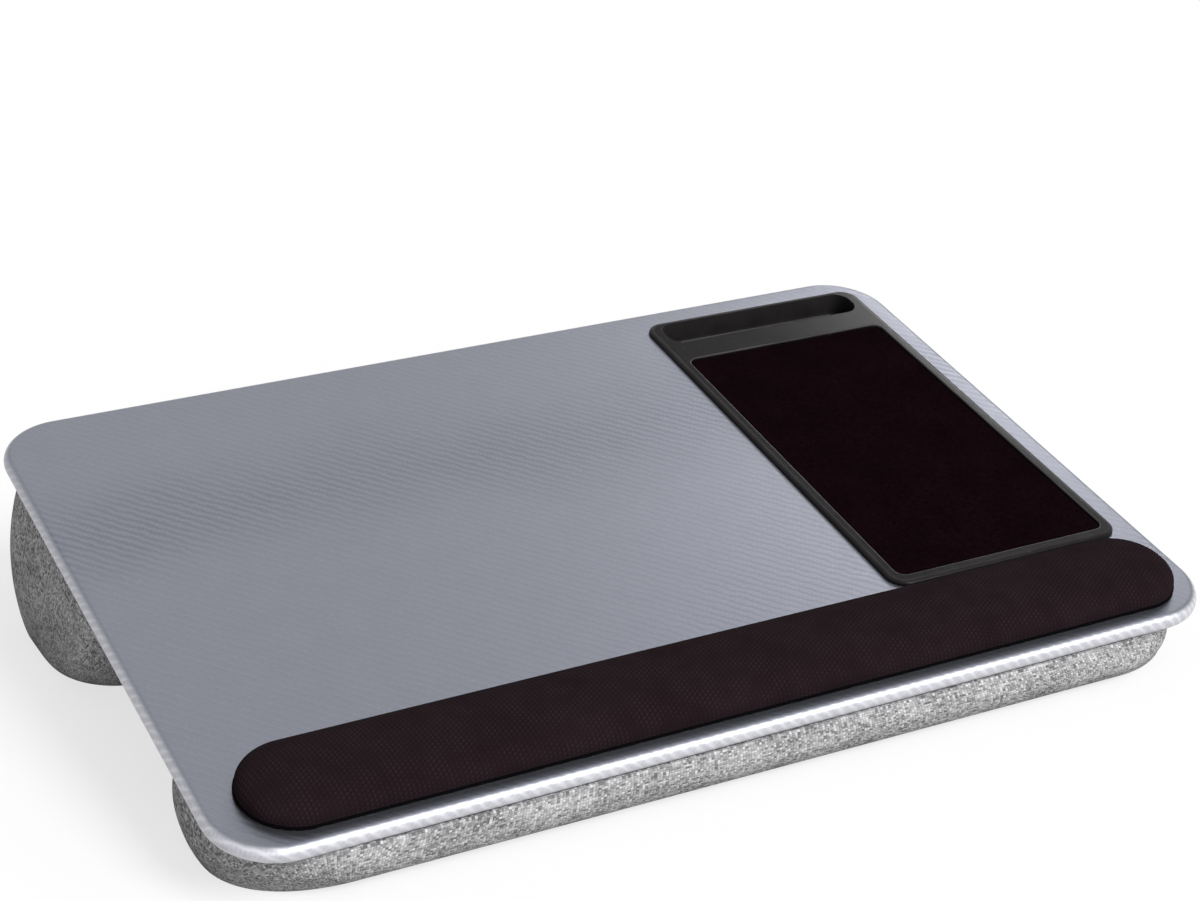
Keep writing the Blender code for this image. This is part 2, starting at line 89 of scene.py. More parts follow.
@dataclass(frozen=True)
class BoardSpace:
    """The board's own frame, tilted about x and stood on the floor.

    Its origin is found from the middle of the film's box, which is half the thickness below the top.
    """

    tilt: float = math.radians(11.75)
    thickness: float = 0.009

    def origin(self) -> np.ndarray:
        """The board frame's origin in the row frame."""
        low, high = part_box("board_film")
        middle = (np.array(low) + np.array(high)) / 2
        return middle - self.turned(np.array([[0, 0, -self.thickness / 2]]))[0]

    def turned(self, points: np.ndarray) -> np.ndarray:
        """Points turned by the tilt: y' = y cos - z sin, z' = y sin + z cos."""
        c, s = math.cos(self.tilt), math.sin(self.tilt)
        x, y, z = points.T
        return np.column_stack([x, y * c - z * s, y * s + z * c])

    def world(self, points: np.ndarray) -> np.ndarray:
        """Points of the board's frame, moved to the row frame."""
        return self.turned(points) + self.origin()

    def local(self, points: np.ndarray) -> np.ndarray:
        """Points of the row frame in the board's frame: y = y' cos + z' sin, z = z' cos - y' sin."""
        c, s = math.cos(self.tilt), math.sin(self.tilt)
        x, y, z = (points - self.origin()).T
        return np.column_stack([x, y * c + z * s, z * c - y * s])

    def floor_height(self, y: np.ndarray) -> np.ndarray:
        """Height of the floor in the board's frame: the plane world z = 0, met along the board's normal."""
        return -self.origin()[2] / math.cos(self.tilt) - y * math.tan(self.tilt)


SPACE = BoardSpace()


def quarter(steps: int) -> np.ndarray:
    """Angles that divide a quarter turn evenly."""
    return np.linspace(0, math.pi / 2, steps + 1)


@dataclass(frozen=True)
class Outline:
    """A closed loop of points, counter-clockwise seen from above, each with its outward normal."""

    points: np.ndarray
    normals: np.ndarray

    @classmethod
    def rounded(
        cls, centre: Pair, size: Pair, corners: Pair, arc_steps: int = 16, spacing: float = 0.02
    ) -> "Outline":
        """A rectangle with round corners.

        A corner's points are its centre plus its radius times (cos a, sin a), with a growing evenly over
        a quarter turn. A side's points divide it evenly.

        Args:
            centre: middle of the rectangle.
            size: its width along x and its depth along y.
            corners: radius of the two front corners, and of the two rear ones.
            arc_steps: steps in a quarter turn.
            spacing: largest distance between points on a side.

        Returns:
            The outline, from the right rear corner on.
        """
        half = np.array(size) / 2
        room = 0.499 * min(size)
        front, rear = min(corners[0], room), min(corners[1], room)
        points, normals = [], []
        for place, radius in enumerate((rear, rear, front, front)):
            turn = (place + np.linspace(0, 1, arc_steps + 1)) * math.pi / 2
            ray = np.column_stack([np.cos(turn), np.sin(turn)])
            sign = np.array([(1, 1), (-1, 1), (-1, -1), (1, -1)][place])
            points.append(np.array(centre) + sign * (half - radius) + radius * ray)
            normals.append(ray)
        sides = [np.linalg.norm(points[(here + 1) % 4][0] - points[here][-1]) for here in range(4)]
        return cls.joined(points, normals, [max(1, math.ceil(side / spacing)) for side in sides])

    @classmethod
    def joined(cls, points: Rings, normals: Rings, counts: list[int]) -> "Outline":
        """Four corners with straight sides between them.

        A side's points are the last point of the corner before it plus k / count of the way to the next
        corner, for each whole k between 0 and the count.

        Args:
            points: each corner's points.
            normals: each corner's normals.
            counts: into how many parts the side after each corner is divided.

        Returns:
            The outline, from the first corner on.
        """
        loop, outward = [], []
        for here, count in enumerate(counts):
            start, end = points[here][-1], points[(here + 1) % 4][0]
            share = np.arange(1, count)[:, None] / count
            loop += [points[here], start + (end - start) * share]
            outward += [normals[here], np.repeat(normals[here][-1:], count - 1, axis=0)]
        return cls(np.concatenate(loop), np.concatenate(outward))

    def inset(self, distance: float) -> np.ndarray:
        """The points moved inwards along their normals."""
        return self.points - distance * self.normals


def at_height(points: np.ndarray, height: float | np.ndarray) -> np.ndarray:
    """Flat points as points of the board's frame at a height."""
    return np.column_stack([points, np.broadcast_to(height, len(points))])


class Surface:
    """Points and faces gathered ring by ring in the board's frame, each point with its weave place."""

    def __init__(self) -> None:
        """Starts with no points."""
        self.points: Rings = []
        self.weave: Rings = []
        self.edge: Rings = []
        self.faces: list[list[int]] = []
        self.count = 0

    def add_points(self, points: np.ndarray, weave: np.ndarray | None, edge: np.ndarray | float) -> int:
        """Adds points and returns the index of the first one."""
        first = self.count
        self.points.append(points)
        self.weave.append(points[:, :2] if weave is None else weave)
        self.edge.append(np.broadcast_to(edge, len(points)))
        self.count += len(points)
        return first

    def rings(
        self, rings: Rings, weave: Rings | None = None, edge: list[float | np.ndarray] | None = None
    ) -> None:
        """Joins neighbouring rings with quads.

        The quad at ring r and point i has the corners (r, i), (r, i + 1), (r + 1, i + 1) and (r + 1, i),
        where i wraps round.

        Args:
            rings: arrays of points, all of one length.
            weave: for each ring the places on the flat cloth, or None for x and y.
            edge: how exposed to wear each ring or each of its points is, or None for not at all.
        """
        size = len(rings[0])
        shares = edge or [0.0] * len(rings)
        first = self.add_points(
            np.concatenate(rings),
            None if weave is None else np.concatenate(weave),
            np.concatenate([np.broadcast_to(share, size) for share in shares]),
        )
        r = np.arange(len(rings) - 1)[:, None] * size
        i = np.arange(size)[None, :]
        after = (i + 1) % size
        quads = np.stack([r + i, r + after, r + size + after, r + size + i], -1) + first
        self.faces += quads.reshape(-1, 4).tolist()

    def fill(self, outer: np.ndarray, *holes: np.ndarray) -> None:
        """Fills a flat loop with triangles, and leaves out the holes.

        The triangles are a constrained Delaunay triangulation of all loops. One whose three corners lie
        on the same hole's loop is inside that hole, because the holes are convex.

        Args:
            outer: the loop round the face.
            holes: the loops of its holes.
        """
        loops = [outer, *holes]
        points = np.concatenate(loops)
        first = self.add_points(points, None, 0.0)
        owner = np.repeat(np.arange(len(loops)), [len(loop) for loop in loops])
        edges, start = [], 0
        for loop in loops:
            i = np.arange(len(loop))
            edges += (np.column_stack([i, (i + 1) % len(loop)]) + start).tolist()
            start += len(loop)
        found = geometry.delaunay_2d_cdt([Vector(p[:2]) for p in points], edges, [], 0, MERGE / 100)
        triangles = np.array(found[2])
        corner_owner = owner[triangles]
        in_hole = (corner_owner[:, 0] > 0) & (corner_owner == corner_owner[:, :1]).all(1)
        self.faces += (triangles[~in_hole] + first).tolist()

    def solid(self, rings: Rings, weave: Rings | None = None) -> None:
        """Joins rings, and fills the first and the last one."""
        self.rings(rings, weave)
        self.fill(rings[0])
        self.fill(rings[-1])

    def well(self, rings: Rings, edge: list[float] | None = None) -> None:
        """Joins rings that go in from an opening, and fills the last one."""
        self.rings(rings, None, edge)
        self.fill(rings[-1])

    def fill_rows(self, ring: np.ndarray, start: int) -> None:
        """Fills a flat loop of an even number of points with rows that run across it.

        Row k joins the points k steps before and after the start. Neighbouring rows have a quad between
        them, and the first and the last row a triangle.

        Args:
            ring: the loop.
            start: the point at one end of the loop.
        """
        first = self.add_points(ring, None, 0.0)
        size, last = len(ring), len(ring) // 2
        k = np.arange(1, last - 1)
        quads = np.stack([start + k, start + k + 1, start - k - 1, start - k], -1) % size + first
        ends = [[start, start + 1, start - 1], [start + last - 1, start + last, start - last + 1]]
        self.faces += quads.tolist() + (np.array(ends) % size + first).tolist()

    def mesh(self, name: str) -> bpy.types.Mesh:
        """The closed mesh in the row frame, its doubles merged and its faces turned outwards.

        The attributes lie on the faces' corners, so that they may jump where two faces meet.
        """
        mesh = bpy.data.meshes.new(name)
        points = SPACE.world(np.concatenate(self.points))
        mesh.from_pydata(points.tolist(), [], self.faces)
        corners = np.empty(len(mesh.loops), np.int32)
        mesh.loops.foreach_get("vertex_index", corners)
        weave = np.column_stack([np.concatenate(self.weave), np.zeros(self.count)])[corners]
        edge = np.concatenate(self.edge)[corners]
        layer = mesh.attributes.new(WEAVE, "FLOAT_VECTOR", "CORNER")
        layer.data.foreach_set("vector", weave.astype(np.float32).ravel())
        layer = mesh.attributes.new(EDGE, "FLOAT", "CORNER")
        layer.data.foreach_set("value", edge.astype(np.float32))
        builder = bmesh.new()
        builder.from_mesh(mesh)
        bmesh.ops.remove_doubles(builder, verts=builder.verts, dist=MERGE)
        bmesh.ops.recalc_face_normals(builder, faces=builder.faces)
        builder.to_mesh(mesh)
        builder.free()
        mesh.shade_smooth()
        mesh.set_sharp_from_angle(angle=SHARP)
        return mesh


def add_piece(
    name: str, surface: Surface, material: bpy.types.Material, slot: str, *nodes: str
) -> bpy.types.Object:
    """Makes a piece from a surface and puts it in the place of CAD nodes.

    Args:
        name: the piece's name.
        surface: its points and faces.
        material: its finish.
        slot: the record's material slot, which is not used.
        nodes: the CAD nodes that it stands for.

    Returns:
        The new object, riding on the body.
    """
    mesh = surface.mesh(name)
    mesh.materials.append(material)
    piece = bpy.data.objects.new(name, mesh)
    bpy.context.scene.collection.objects.link(piece)
    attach(piece, BODY)
    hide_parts(*nodes)
    log.info("%s: %d faces", name, len(mesh.polygons))
    return piece


def dress_nodes(material: bpy.types.Material, slot: str, *nodes: str) -> None:
    """Gives CAD nodes that stay a material in all their slots."""
    for node in nodes:
        piece = frame["nodes"][node]
        for place in piece.material_slots:
            place.material = material
        log.info("%s: dressed", node)


def rgba(colour: Any) -> Any:
    """A colour with an alpha of 1, or a socket as it is."""
    return colour if isinstance(colour, Socket) else (*colour, 1.0)


class Nodes:
    """Builds the nodes of one shader tree. A value of type Any is a socket or what to set."""

    def __init__(self, tree: bpy.types.NodeTree) -> None:
        """Keeps the tree."""
        self.tree = tree

    def feed(self, node: bpy.types.Node, inputs: dict[str | int, Any]) -> None:
        """Links sockets to a node's inputs, and sets other values on them.

        Args:
            node: the node.
            inputs: values by the input's number or name, where an underscore stands for a space.
        """
        for key, value in inputs.items():
            socket = node.inputs[key.replace("_", " ") if isinstance(key, str) else key]
            if isinstance(value, Socket):
                self.tree.links.new(value, socket)
            else:
                socket.default_value = value

    def add(self, kind: str, inputs: dict[str | int, Any] | None = None, **settings: Any) -> bpy.types.Node:
        """Adds a node, makes its settings and then feeds it.

        Args:
            kind: the node's type.
            inputs: what its inputs are fed with.
            settings: the node's own properties.

        Returns:
            The node.
        """
        node = self.tree.nodes.new(kind)
        for name, value in settings.items():
            setattr(node, name, value)
        self.feed(node, inputs or {})
        return node

    def math(self, operation: str, *values: Any) -> Socket:
        """One Math node."""
        return self.add("ShaderNodeMath", dict(enumerate(values)), operation=operation).outputs[0]

    def times(self, first: Any, second: Any) -> Socket:
        """Two values multiplied."""
        return self.math("MULTIPLY", first, second)

    def minus(self, first: Any, second: Any) -> Socket:
        """The first value less the second."""
        return self.math("SUBTRACT", first, second)

    def over(self, first: Any, second: Any) -> Socket:
        """The first value divided by the second."""
        return self.math("DIVIDE", first, second)

    def scaled(self, value: Any, factor: Any, offset: Any) -> Socket:
        """The value times the factor, plus the offset."""
        return self.math("MULTIPLY_ADD", value, factor, offset)

    def around(self, mean: Any, value: Any, spread: float) -> Socket:
        """The mean, plus the spread times what the value is above one half."""
        low = self.minus(mean, spread / 2) if isinstance(mean, Socket) else mean - spread / 2
        return self.scaled(value, spread, low)

    def wave(self, turns: Any, count: float = 1.0) -> Socket:
        """A wave from 0 to 1: half of 1 + cos a, where a is the turns times the count."""
        return self.scaled(self.math("COSINE", self.times(turns, 2 * math.pi * count)), 0.5, 0.5)

    def split(self, vector: Socket) -> list[Socket]:
        """The x, y and z of a vector."""
        return list(self.add("ShaderNodeSeparateXYZ", {0: vector}).outputs)

    def join(self, x: Any = 0.0, y: Any = 0.0, z: Any = 0.0) -> Socket:
        """A vector from x, y and z."""
        return self.add("ShaderNodeCombineXYZ", {0: x, 1: y, 2: z}).outputs[0]

    def noise(self, vector: Any, scale: Any, detail: float = 2.0, roughness: float = 0.5) -> Socket:
        """Noise from 0 to 1, with a mean near one half."""
        inputs = {"Vector": vector, "Scale": scale, "Detail": detail, "Roughness": roughness}
        return self.add("ShaderNodeTexNoise", inputs).outputs["Fac"]

    def span(self, value: Any, low: float, high: float, first: float = 0.0, last: float = 1.0) -> Socket:
        """A smooth step from first to last as the value goes from low to high."""
        inputs = {0: value, 1: low, 2: high, 3: first, 4: last}
        return self.add("ShaderNodeMapRange", inputs, interpolation_type="SMOOTHSTEP").outputs[0]

    def mix(self, share: Any, first: Any, second: Any, blend: str = "MIX") -> Socket:
        """Two colours mixed."""
        inputs = {0: share, 6: rgba(first), 7: rgba(second)}
        return self.add("ShaderNodeMix", inputs, data_type="RGBA", blend_type=blend).outputs[2]

    def objects(self) -> Socket:
        """Object coordinates."""
        return self.add("ShaderNodeTexCoord").outputs["Object"]

    def attribute(self, name: str) -> Socket:
        """A corner attribute: its vector for the weave, or its value for the edge."""
        node = self.add("ShaderNodeAttribute", attribute_name=name)
        return node.outputs["Vector" if name == WEAVE else "Fac"]

    def group(self, tree: bpy.types.NodeTree, **inputs: Any) -> Any:
        """Places a shared effect, fed by name, and returns its outputs."""
        return self.add("ShaderNodeGroup", inputs, node_tree=tree).outputs

    def bump(self, height: Any, distance: float, strength: float, normal: Socket | None = None) -> Socket:
        """A normal from a height from 0 to 1 that stands for the distance, on top of another normal."""
        inputs = {"Height": height, "Distance": distance, "Strength": strength}
        if normal is not None:
            inputs["Normal"] = normal
        return self.add("ShaderNodeBump", inputs).outputs["Normal"]


class Effect(Nodes):
    """A shared effect: a node group that takes a place and some numbers, and puts numbers out."""

    def __init__(self, name: str, **numbers: float) -> None:
        """Starts the group, and keeps what it is given, the place first.

        Args:
            name: the group's name.
            numbers: each number's usual value by name, where an underscore stands for a space.
        """
        super().__init__(bpy.data.node_groups.new(name, "ShaderNodeTree"))
        self.tree.interface.new_socket(name="Vector", in_out="INPUT", socket_type="NodeSocketVector")
        for key, value in numbers.items():
            named = key.replace("_", " ")
            socket = self.tree.interface.new_socket(name=named, in_out="INPUT", socket_type="NodeSocketFloat")
            socket.default_value = value
        self.given = list(self.add("NodeGroupInput").outputs)[: 1 + len(numbers)]

    def put_out(self, **values: Socket) -> bpy.types.NodeTree:
        """Puts values out by name, and returns the finished group."""
        for name in values:
            self.tree.interface.new_socket(name=name, in_out="OUTPUT", socket_type="NodeSocketFloat")
        self.add("NodeGroupOutput", values)
        return self.tree


def make_weave_effect() -> bpy.types.NodeTree:
    """Threads that cross over and under.

    Each thread is as wide as the pitch. A warp thread, along y, lies on top where the sum of both thread
    numbers, taken round twice the run, is below the run, so a run of 1 is a plain weave and 2 a twill. A
    thread's height is the sine across it times a low sine along it. Its tone is noise that is stretched
    along the thread by the slub length, so that it has thick and thin, light and dark stretches.

    Returns:
        The group, with the outputs Height and Tone.
    """
    dip = 0.35  # how far a thread goes down between its crossings, as a share of its height
    spread = 3.7  # how far apart in the noise neighbouring threads are
    n = Effect("thread_weave", Pitch=0.001, Run=1.0, Slub=8.0)
    place, pitch, run, slub = n.given
    x, y = (n.over(axis, pitch) for axis in n.split(place)[:2])
    warp, weft = n.math("FLOOR", x), n.math("FLOOR", y)
    number = n.math("WRAP", n.math("ADD", warp, weft), n.times(run, 2.0), 0.0)
    warp_on_top = n.math("LESS_THAN", number, n.minus(run, 0.5))
    across_warp, across_weft = (n.math("SINE", n.times(n.math("FRACT", v), math.pi)) for v in (x, y))
    warp_height = n.times(across_warp, n.scaled(across_weft, dip, 1 - dip))
    weft_height = n.times(across_weft, n.scaled(across_warp, dip, 1 - dip))
    along = n.over(1.0, slub)
    warp_tone = n.noise(n.join(n.times(warp, spread), n.times(y, along)), 1.0, 1.0)
    weft_tone = n.noise(n.join(n.times(x, along), n.times(weft, spread), 9.0), 1.0, 1.0)

    def upper(under: Socket, over: Socket) -> Socket:
        """The warp's value where it lies on top, else the weft's."""
        return n.add("ShaderNodeMix", {0: warp_on_top, 2: under, 3: over}, data_type="FLOAT").outputs[0]

    return n.put_out(Height=upper(weft_height, warp_height), Tone=upper(weft_tone, warp_tone))


def make_rib_effect() -> bpy.types.NodeTree:
    """Diagonal ribs of short strokes, as in a twill.

    A groove's depth is a wave of the distance across, in turns of the spacing, and a rib's height is 1
    less the square of that depth, so that ribs are broad and grooves narrow. A stroke's height is a wave
    of the distance along the rib, in turns of the length, shifted by half a turn on each next rib. The
    fine rib has half the spacing. A slow noise pushes the ribs about, so that none is quite straight.

    Returns:
        The group, with the outputs Height and Fine.
    """
    waver = 0.9  # how far the noise pushes a rib, in turns of the spacing
    cut = 0.3  # how deep the strokes are cut, as a share of the rib's height
    n = Effect("twill_ribs", Spacing=0.004, Length=0.002, Turn=0.0)
    place, spacing, length, turn = n.given
    inputs = {"Vector": place, "Angle": n.times(turn, -1.0)}
    x, y, _ = n.split(n.add("ShaderNodeVectorRotate", inputs, rotation_type="Z_AXIS").outputs[0])
    across = n.around(n.over(y, spacing), n.noise(place, 120.0), waver)
    along = n.scaled(n.math("FLOOR", across), 0.5, n.over(x, length))
    groove = n.wave(across)
    rib = n.minus(1.0, n.times(groove, groove))
    return n.put_out(Height=n.times(rib, n.scaled(n.wave(along), cut, 1 - cut)), Fine=n.wave(across, 2.0))


def make_mesh_effect() -> bpy.types.NodeTree:
    """Rows of small dots, as on a fine knitted mesh: two sets of waves, one times the other.

    A wave is of the distance across its rows, in turns of its spacing. Across rows that lie at an angle
    t, that distance is y cos t - x sin t.

    Returns:
        The group, with the output Height.
    """
    n = Effect("mesh_dots", Spacing=0.002, Turn=0.6, Cross_Spacing=0.002, Cross_Turn=1.7)
    place, *rows = n.given
    x, y, _ = n.split(place)
    waves = []
    for spacing, turn in (rows[:2], rows[2:]):
        across = n.minus(n.times(y, n.math("COSINE", turn)), n.times(x, n.math("SINE", turn)))
        waves.append(n.wave(n.over(across, spacing)))
    return n.put_out(Height=n.times(*waves))


def make_grain_effect() -> bpy.types.NodeTree:
    """Fine grain of a moulded or foamed surface: two sizes of noise, the coarse one weaker.

    Returns:
        The group, with the outputs Height and Patch.
    """
    coarseness = 40.0  # how many times larger the coarse noise is
    weak = 0.2  # the coarse noise's share of the height
    n = Effect("surface_grain", Size=0.0005)
    place, size = n.given
    scale = n.over(1.0, size)
    fine = n.noise(place, scale, 3.0, 0.6)
    coarse = n.noise(place, n.over(scale, coarseness))
    return n.put_out(Height=n.scaled(coarse, weak, n.times(fine, 1 - weak)), Patch=coarse)


def make_wear_effect() -> bpy.types.NodeTree:
    """Rubbed spots along exposed edges: the edge attribute times patchy noise.

    Returns:
        The group, with the output Mask.
    """
    n = Effect("edge_wear", Edge=0.0, Amount=0.5)
    place, edge, amount = n.given
    worn = n.span(n.times(n.noise(place, 160.0, 4.0, 0.65), edge), 0.3, 0.65)
    return n.put_out(Mask=n.times(worn, amount))


def make_dust_effect() -> bpy.types.NodeTree:
    """A few pale specks: the middles of small cells, where a noise is high.

    Returns:
        The group, with the output Mask.
    """
    n = Effect("dust_specks", Size=0.004, Amount=0.3)
    place, size, amount = n.given
    cell = n.add("ShaderNodeTexVoronoi", {"Vector": place, "Scale": n.over(1.0, size)})
    speck = n.span(cell.outputs["Distance"], 0.035, 0.09, 1.0, 0.0)
    thin = n.span(n.noise(place, 25.0), 0.5, 0.62)
    return n.put_out(Mask=n.times(n.times(speck, thin), amount))


@dataclass
class Effects:
    """The shared effects, each built once."""

    weave: bpy.types.NodeTree = field(default_factory=make_weave_effect)
    ribs: bpy.types.NodeTree = field(default_factory=make_rib_effect)
    mesh: bpy.types.NodeTree = field(default_factory=make_mesh_effect)
    grain: bpy.types.NodeTree = field(default_factory=make_grain_effect)
    wear: bpy.types.NodeTree = field(default_factory=make_wear_effect)
    dust: bpy.types.NodeTree = field(default_factory=make_dust_effect)


EFFECTS = Effects()


class Coat(Nodes):
    """A new material's nodes, round its Principled shader."""

    def __init__(self, name: str, **plain: float) -> None:
        """Starts the material.

        Args:
            name: the material's name.
            plain: values that are the same all over, set on the shader's own sockets by name.
        """
        self.material = bpy.data.materials.new(name)
        self.material.use_nodes = True
        super().__init__(self.material.node_tree)
        self.shader = self.tree.nodes["Principled BSDF"]
        self.feed(self.shader, plain)

    def dressed(self, **inputs: Socket) -> bpy.types.Material:
        """Feeds the shader by name, and returns the material."""
        self.feed(self.shader, inputs)
        return self.material


class Weave(Enum):
    """How many threads a thread passes over at a time."""

    PLAIN = 1.0
    TWILL = 2.0


@dataclass(frozen=True)
class RibbedFilm:
    """Silver film with fine diagonal ribs, rough like brushed metal, with a painted highlight that whitens it
    along the board's edge.
    """

    name: str = "film"
    dark: Colour = (0.149, 0.157, 0.189)
    light: Colour = (0.241, 0.249, 0.287)
    painted_edge_highlight: Colour = (0.60, 0.60, 0.645)
    rubbed: Colour = (0.70, 0.70, 0.72)
    dusty: Colour = (0.70, 0.69, 0.67)
    painted_highlight_metallic: float = 0.4
    roughness: float = 0.40
    roughness_spread: float = 0.12
    spacing: float = 0.00464
    length: float = 0.0023
    turn: float = math.radians(133.5)
    relief: float = 0.00006
    grain_size: float = 0.0004
    grain_relief: float = 0.00001
    band_y: float = 0.070
    band_width: float = 0.065
    band_shares: Pair = (0.4, 1.5)  # of the width: where the ribs begin to fade, and where they are faint
    rib_strengths: Pair = (0.6, 0.06)  # inside the band, and far from it
    rib_middle: float = 0.7  # a rib's height that leaves the tone as it is
    rib_tone: float = 0.9
    fine_tone: float = 0.12
    patch_tone: float = 0.15
    speckle_scale: float = 500.0
    speckle_tone: float = 0.35

    def build(self) -> bpy.types.Material:
        """Returns the material: ribs in colour, roughness and height, a painted highlight at the edge, and
        dust.

        The ribs are clearest in a band across the rear half, which is a little darker, and fade away
        from it. The band's clearer ribs are a painted reflection, and its darker tone is painted shade.
        The band's edge wavers with a slow noise. A fine noise speckles the whole film.
        """
        n = Coat(self.name)
        place, edge = n.attribute(WEAVE), n.attribute(EDGE)
        ribs = n.group(EFFECTS.ribs, Vector=place, Spacing=self.spacing, Length=self.length, Turn=self.turn)
        grain = n.group(EFFECTS.grain, Vector=place, Size=self.grain_size)
        wear = n.group(EFFECTS.wear, Vector=place, Edge=edge, Amount=0.35)
        dust = n.group(EFFECTS.dust, Vector=place, Amount=0.25)
        away = n.math("ABSOLUTE", n.minus(n.split(place)[1], self.band_y))
        away = n.scaled(n.noise(place, 12.0), self.band_width, away)
        fade = (self.band_width * share for share in self.band_shares)
        # Painted reflection: the ribs show clearest inside the band.
        strength = n.span(away, *fade, *self.rib_strengths)
        rib = n.times(n.minus(ribs["Height"], self.rib_middle), strength)
        # Painted shade: the tone darkens where the band's ribs are strong.
        tone = n.scaled(rib, self.rib_tone, n.scaled(strength, -0.3, 0.52))
        tone = n.around(tone, ribs["Fine"], self.fine_tone)
        tone = n.scaled(grain["Patch"], self.patch_tone, tone)
        tone = n.around(tone, n.noise(place, self.speckle_scale), self.speckle_tone)
        # Painted highlight: the film is whiter and less metallic where the edge turns towards the lamps.
        stretch = n.span(edge, 0.2, 0.75)
        white = n.mix(n.times(ribs["Height"], 0.45), self.painted_edge_highlight, self.light)
        colour = n.mix(stretch, n.mix(tone, self.dark, self.light), white)
        colour = n.mix(wear["Mask"], colour, self.rubbed)
        colour = n.mix(dust["Mask"], colour, self.dusty)
        rough = n.around(self.roughness, grain["Height"], self.roughness_spread)
        rough = n.scaled(ribs["Height"], -0.05, rough)
        metallic = n.scaled(stretch, self.painted_highlight_metallic - 1.0, 1.0)
        fine = n.bump(grain["Height"], self.grain_relief, 0.4)
        normal = n.bump(ribs["Height"], self.relief, 0.6, fine)
        return n.dressed(Base_Color=colour, Metallic=metallic, Roughness=rough, Normal=normal)


@dataclass(frozen=True)
class MouldedPlastic:
    """Black moulded plastic with a fine satin grain, a little lighter where it is rubbed, and with a painted
    reflection on its edges and walls.
    """

    name: str = "tray_plastic"
    base: Colour = (0.0050, 0.0042, 0.0048)
    light: Colour = (0.0085, 0.0072, 0.0082)
    rubbed: Colour = (0.09, 0.084, 0.086)
    dusty: Colour = (0.35, 0.34, 0.33)
    specular: float = 0.055
    roughness: float = 0.16
    roughness_spread: float = 0.12
    grain_size: float = 0.00045
    relief: float = 0.00002
    painted_reflection: Pair = (0.35, 0.65)  # how strong the painted reflection on edges and walls is, at least and at most

    def build(self) -> bpy.types.Material:
        """Returns the material: grain in roughness and height, a painted reflection on edges and walls, wear
        and dust.
        """
        n = Coat(self.name, Specular_IOR_Level=self.specular)
        place, edge = n.objects(), n.attribute(EDGE)
        grain = n.group(EFFECTS.grain, Vector=place, Size=self.grain_size)
        wear = n.group(EFFECTS.wear, Vector=place, Edge=edge, Amount=0.5)
        dust = n.group(EFFECTS.dust, Vector=place, Amount=0.35)
        # Painted reflection: edges and walls are lightened in patches, where the glossy plastic would mirror
        # its bright surroundings.
        painted_reflection = n.times(edge, n.span(grain["Patch"], 0.2, 0.8, *self.painted_reflection))
        colour = n.mix(grain["Patch"], self.base, self.light)
        colour = n.mix(n.math("MAXIMUM", wear["Mask"], painted_reflection), colour, self.rubbed)
        colour = n.mix(dust["Mask"], colour, self.dusty)
        rough = n.around(self.roughness, grain["Height"], self.roughness_spread)
        normal = n.bump(grain["Height"], self.relief, 0.8)
        return n.dressed(Base_Color=colour, Roughness=rough, Normal=normal)


@dataclass(frozen=True)
class Cloth:
    """Woven cloth whose threads vary in tone along their length."""

    name: str
    dark: Colour
    middle: Colour
    light: Colour
    pitch: float
    weave: Weave = Weave.PLAIN
    slub: float = 8.0
    relief: float = 0.0002
    shade: float = 0.45
    patch_tone: float = 0.25
    stops: tuple[float, float, float] = (0.32, 0.5, 0.68)  # the tones at which the three colours lie

    def build(self) -> bpy.types.Material:
        """Returns the material: thread tone and height, shaded between the threads."""
        n = Coat(self.name, Roughness=0.95, Specular_IOR_Level=0.0)
        place, run = n.attribute(WEAVE), self.weave.value
        threads = n.group(EFFECTS.weave, Vector=place, Pitch=self.pitch, Run=run, Slub=self.slub)
        tone = n.around(threads["Tone"], n.noise(place, 30.0, 3.0), self.patch_tone)
        ramp = n.add("ShaderNodeValToRGB", {0: tone})
        stops = ramp.color_ramp.elements
        stops.new(self.stops[1])
        for stop, position, colour in zip(stops, self.stops, (self.dark, self.middle, self.light)):
            stop.position, stop.color = position, rgba(colour)
        depth = n.scaled(threads["Height"], self.shade, 1.0 - self.shade)
        colour = n.mix(1.0, ramp.outputs[0], n.join(depth, depth, depth), "MULTIPLY")
        return n.dressed(Base_Color=colour, Normal=n.bump(threads["Height"], self.relief, 0.7))


@dataclass(frozen=True)
class MeshCloth:
    """Stretch cloth with rows of fine raised dots."""

    name: str = "rest_cloth"
    dark: Colour = (0.0095, 0.0052, 0.0067)
    light: Colour = (0.034, 0.0225, 0.0265)
    spacing: float = 0.00198
    turn: float = math.radians(33.9)
    cross_spacing: float = 0.00225
    cross_turn: float = math.radians(97)
    relief: float = 0.00025
    dot_tones: Pair = (0.12, 0.5)  # in the patches where the dots are faint, and where they are clear
    thread_size: float = 0.0005
    thread_tone: float = 0.6
    thread_relief: float = 0.00006

    def build(self) -> bpy.types.Material:
        """Returns the material: dots that are clearer in some patches, with fine threads between."""
        n = Coat(self.name, Roughness=0.9, Sheen_Weight=0.01, Sheen_Roughness=0.5, Specular_IOR_Level=0.0)
        place = n.attribute(WEAVE)
        rows = {"Spacing": self.spacing, "Turn": self.turn}
        cross_rows = {"Cross_Spacing": self.cross_spacing, "Cross_Turn": self.cross_turn}
        dots = n.group(EFFECTS.mesh, Vector=place, **rows, **cross_rows)
        grain = n.group(EFFECTS.grain, Vector=place, Size=self.thread_size)
        threads = n.times(grain["Height"], n.times(n.noise(place, 35.0, 3.0), self.thread_tone))
        clear = n.span(n.noise(place, 90.0), 0.3, 0.7, *self.dot_tones)
        colour = n.mix(n.scaled(dots["Height"], clear, threads), self.dark, self.light)
        fine = n.bump(grain["Height"], self.thread_relief, 0.5)
        return n.dressed(Base_Color=colour, Normal=n.bump(dots["Height"], self.relief, 0.7, fine))


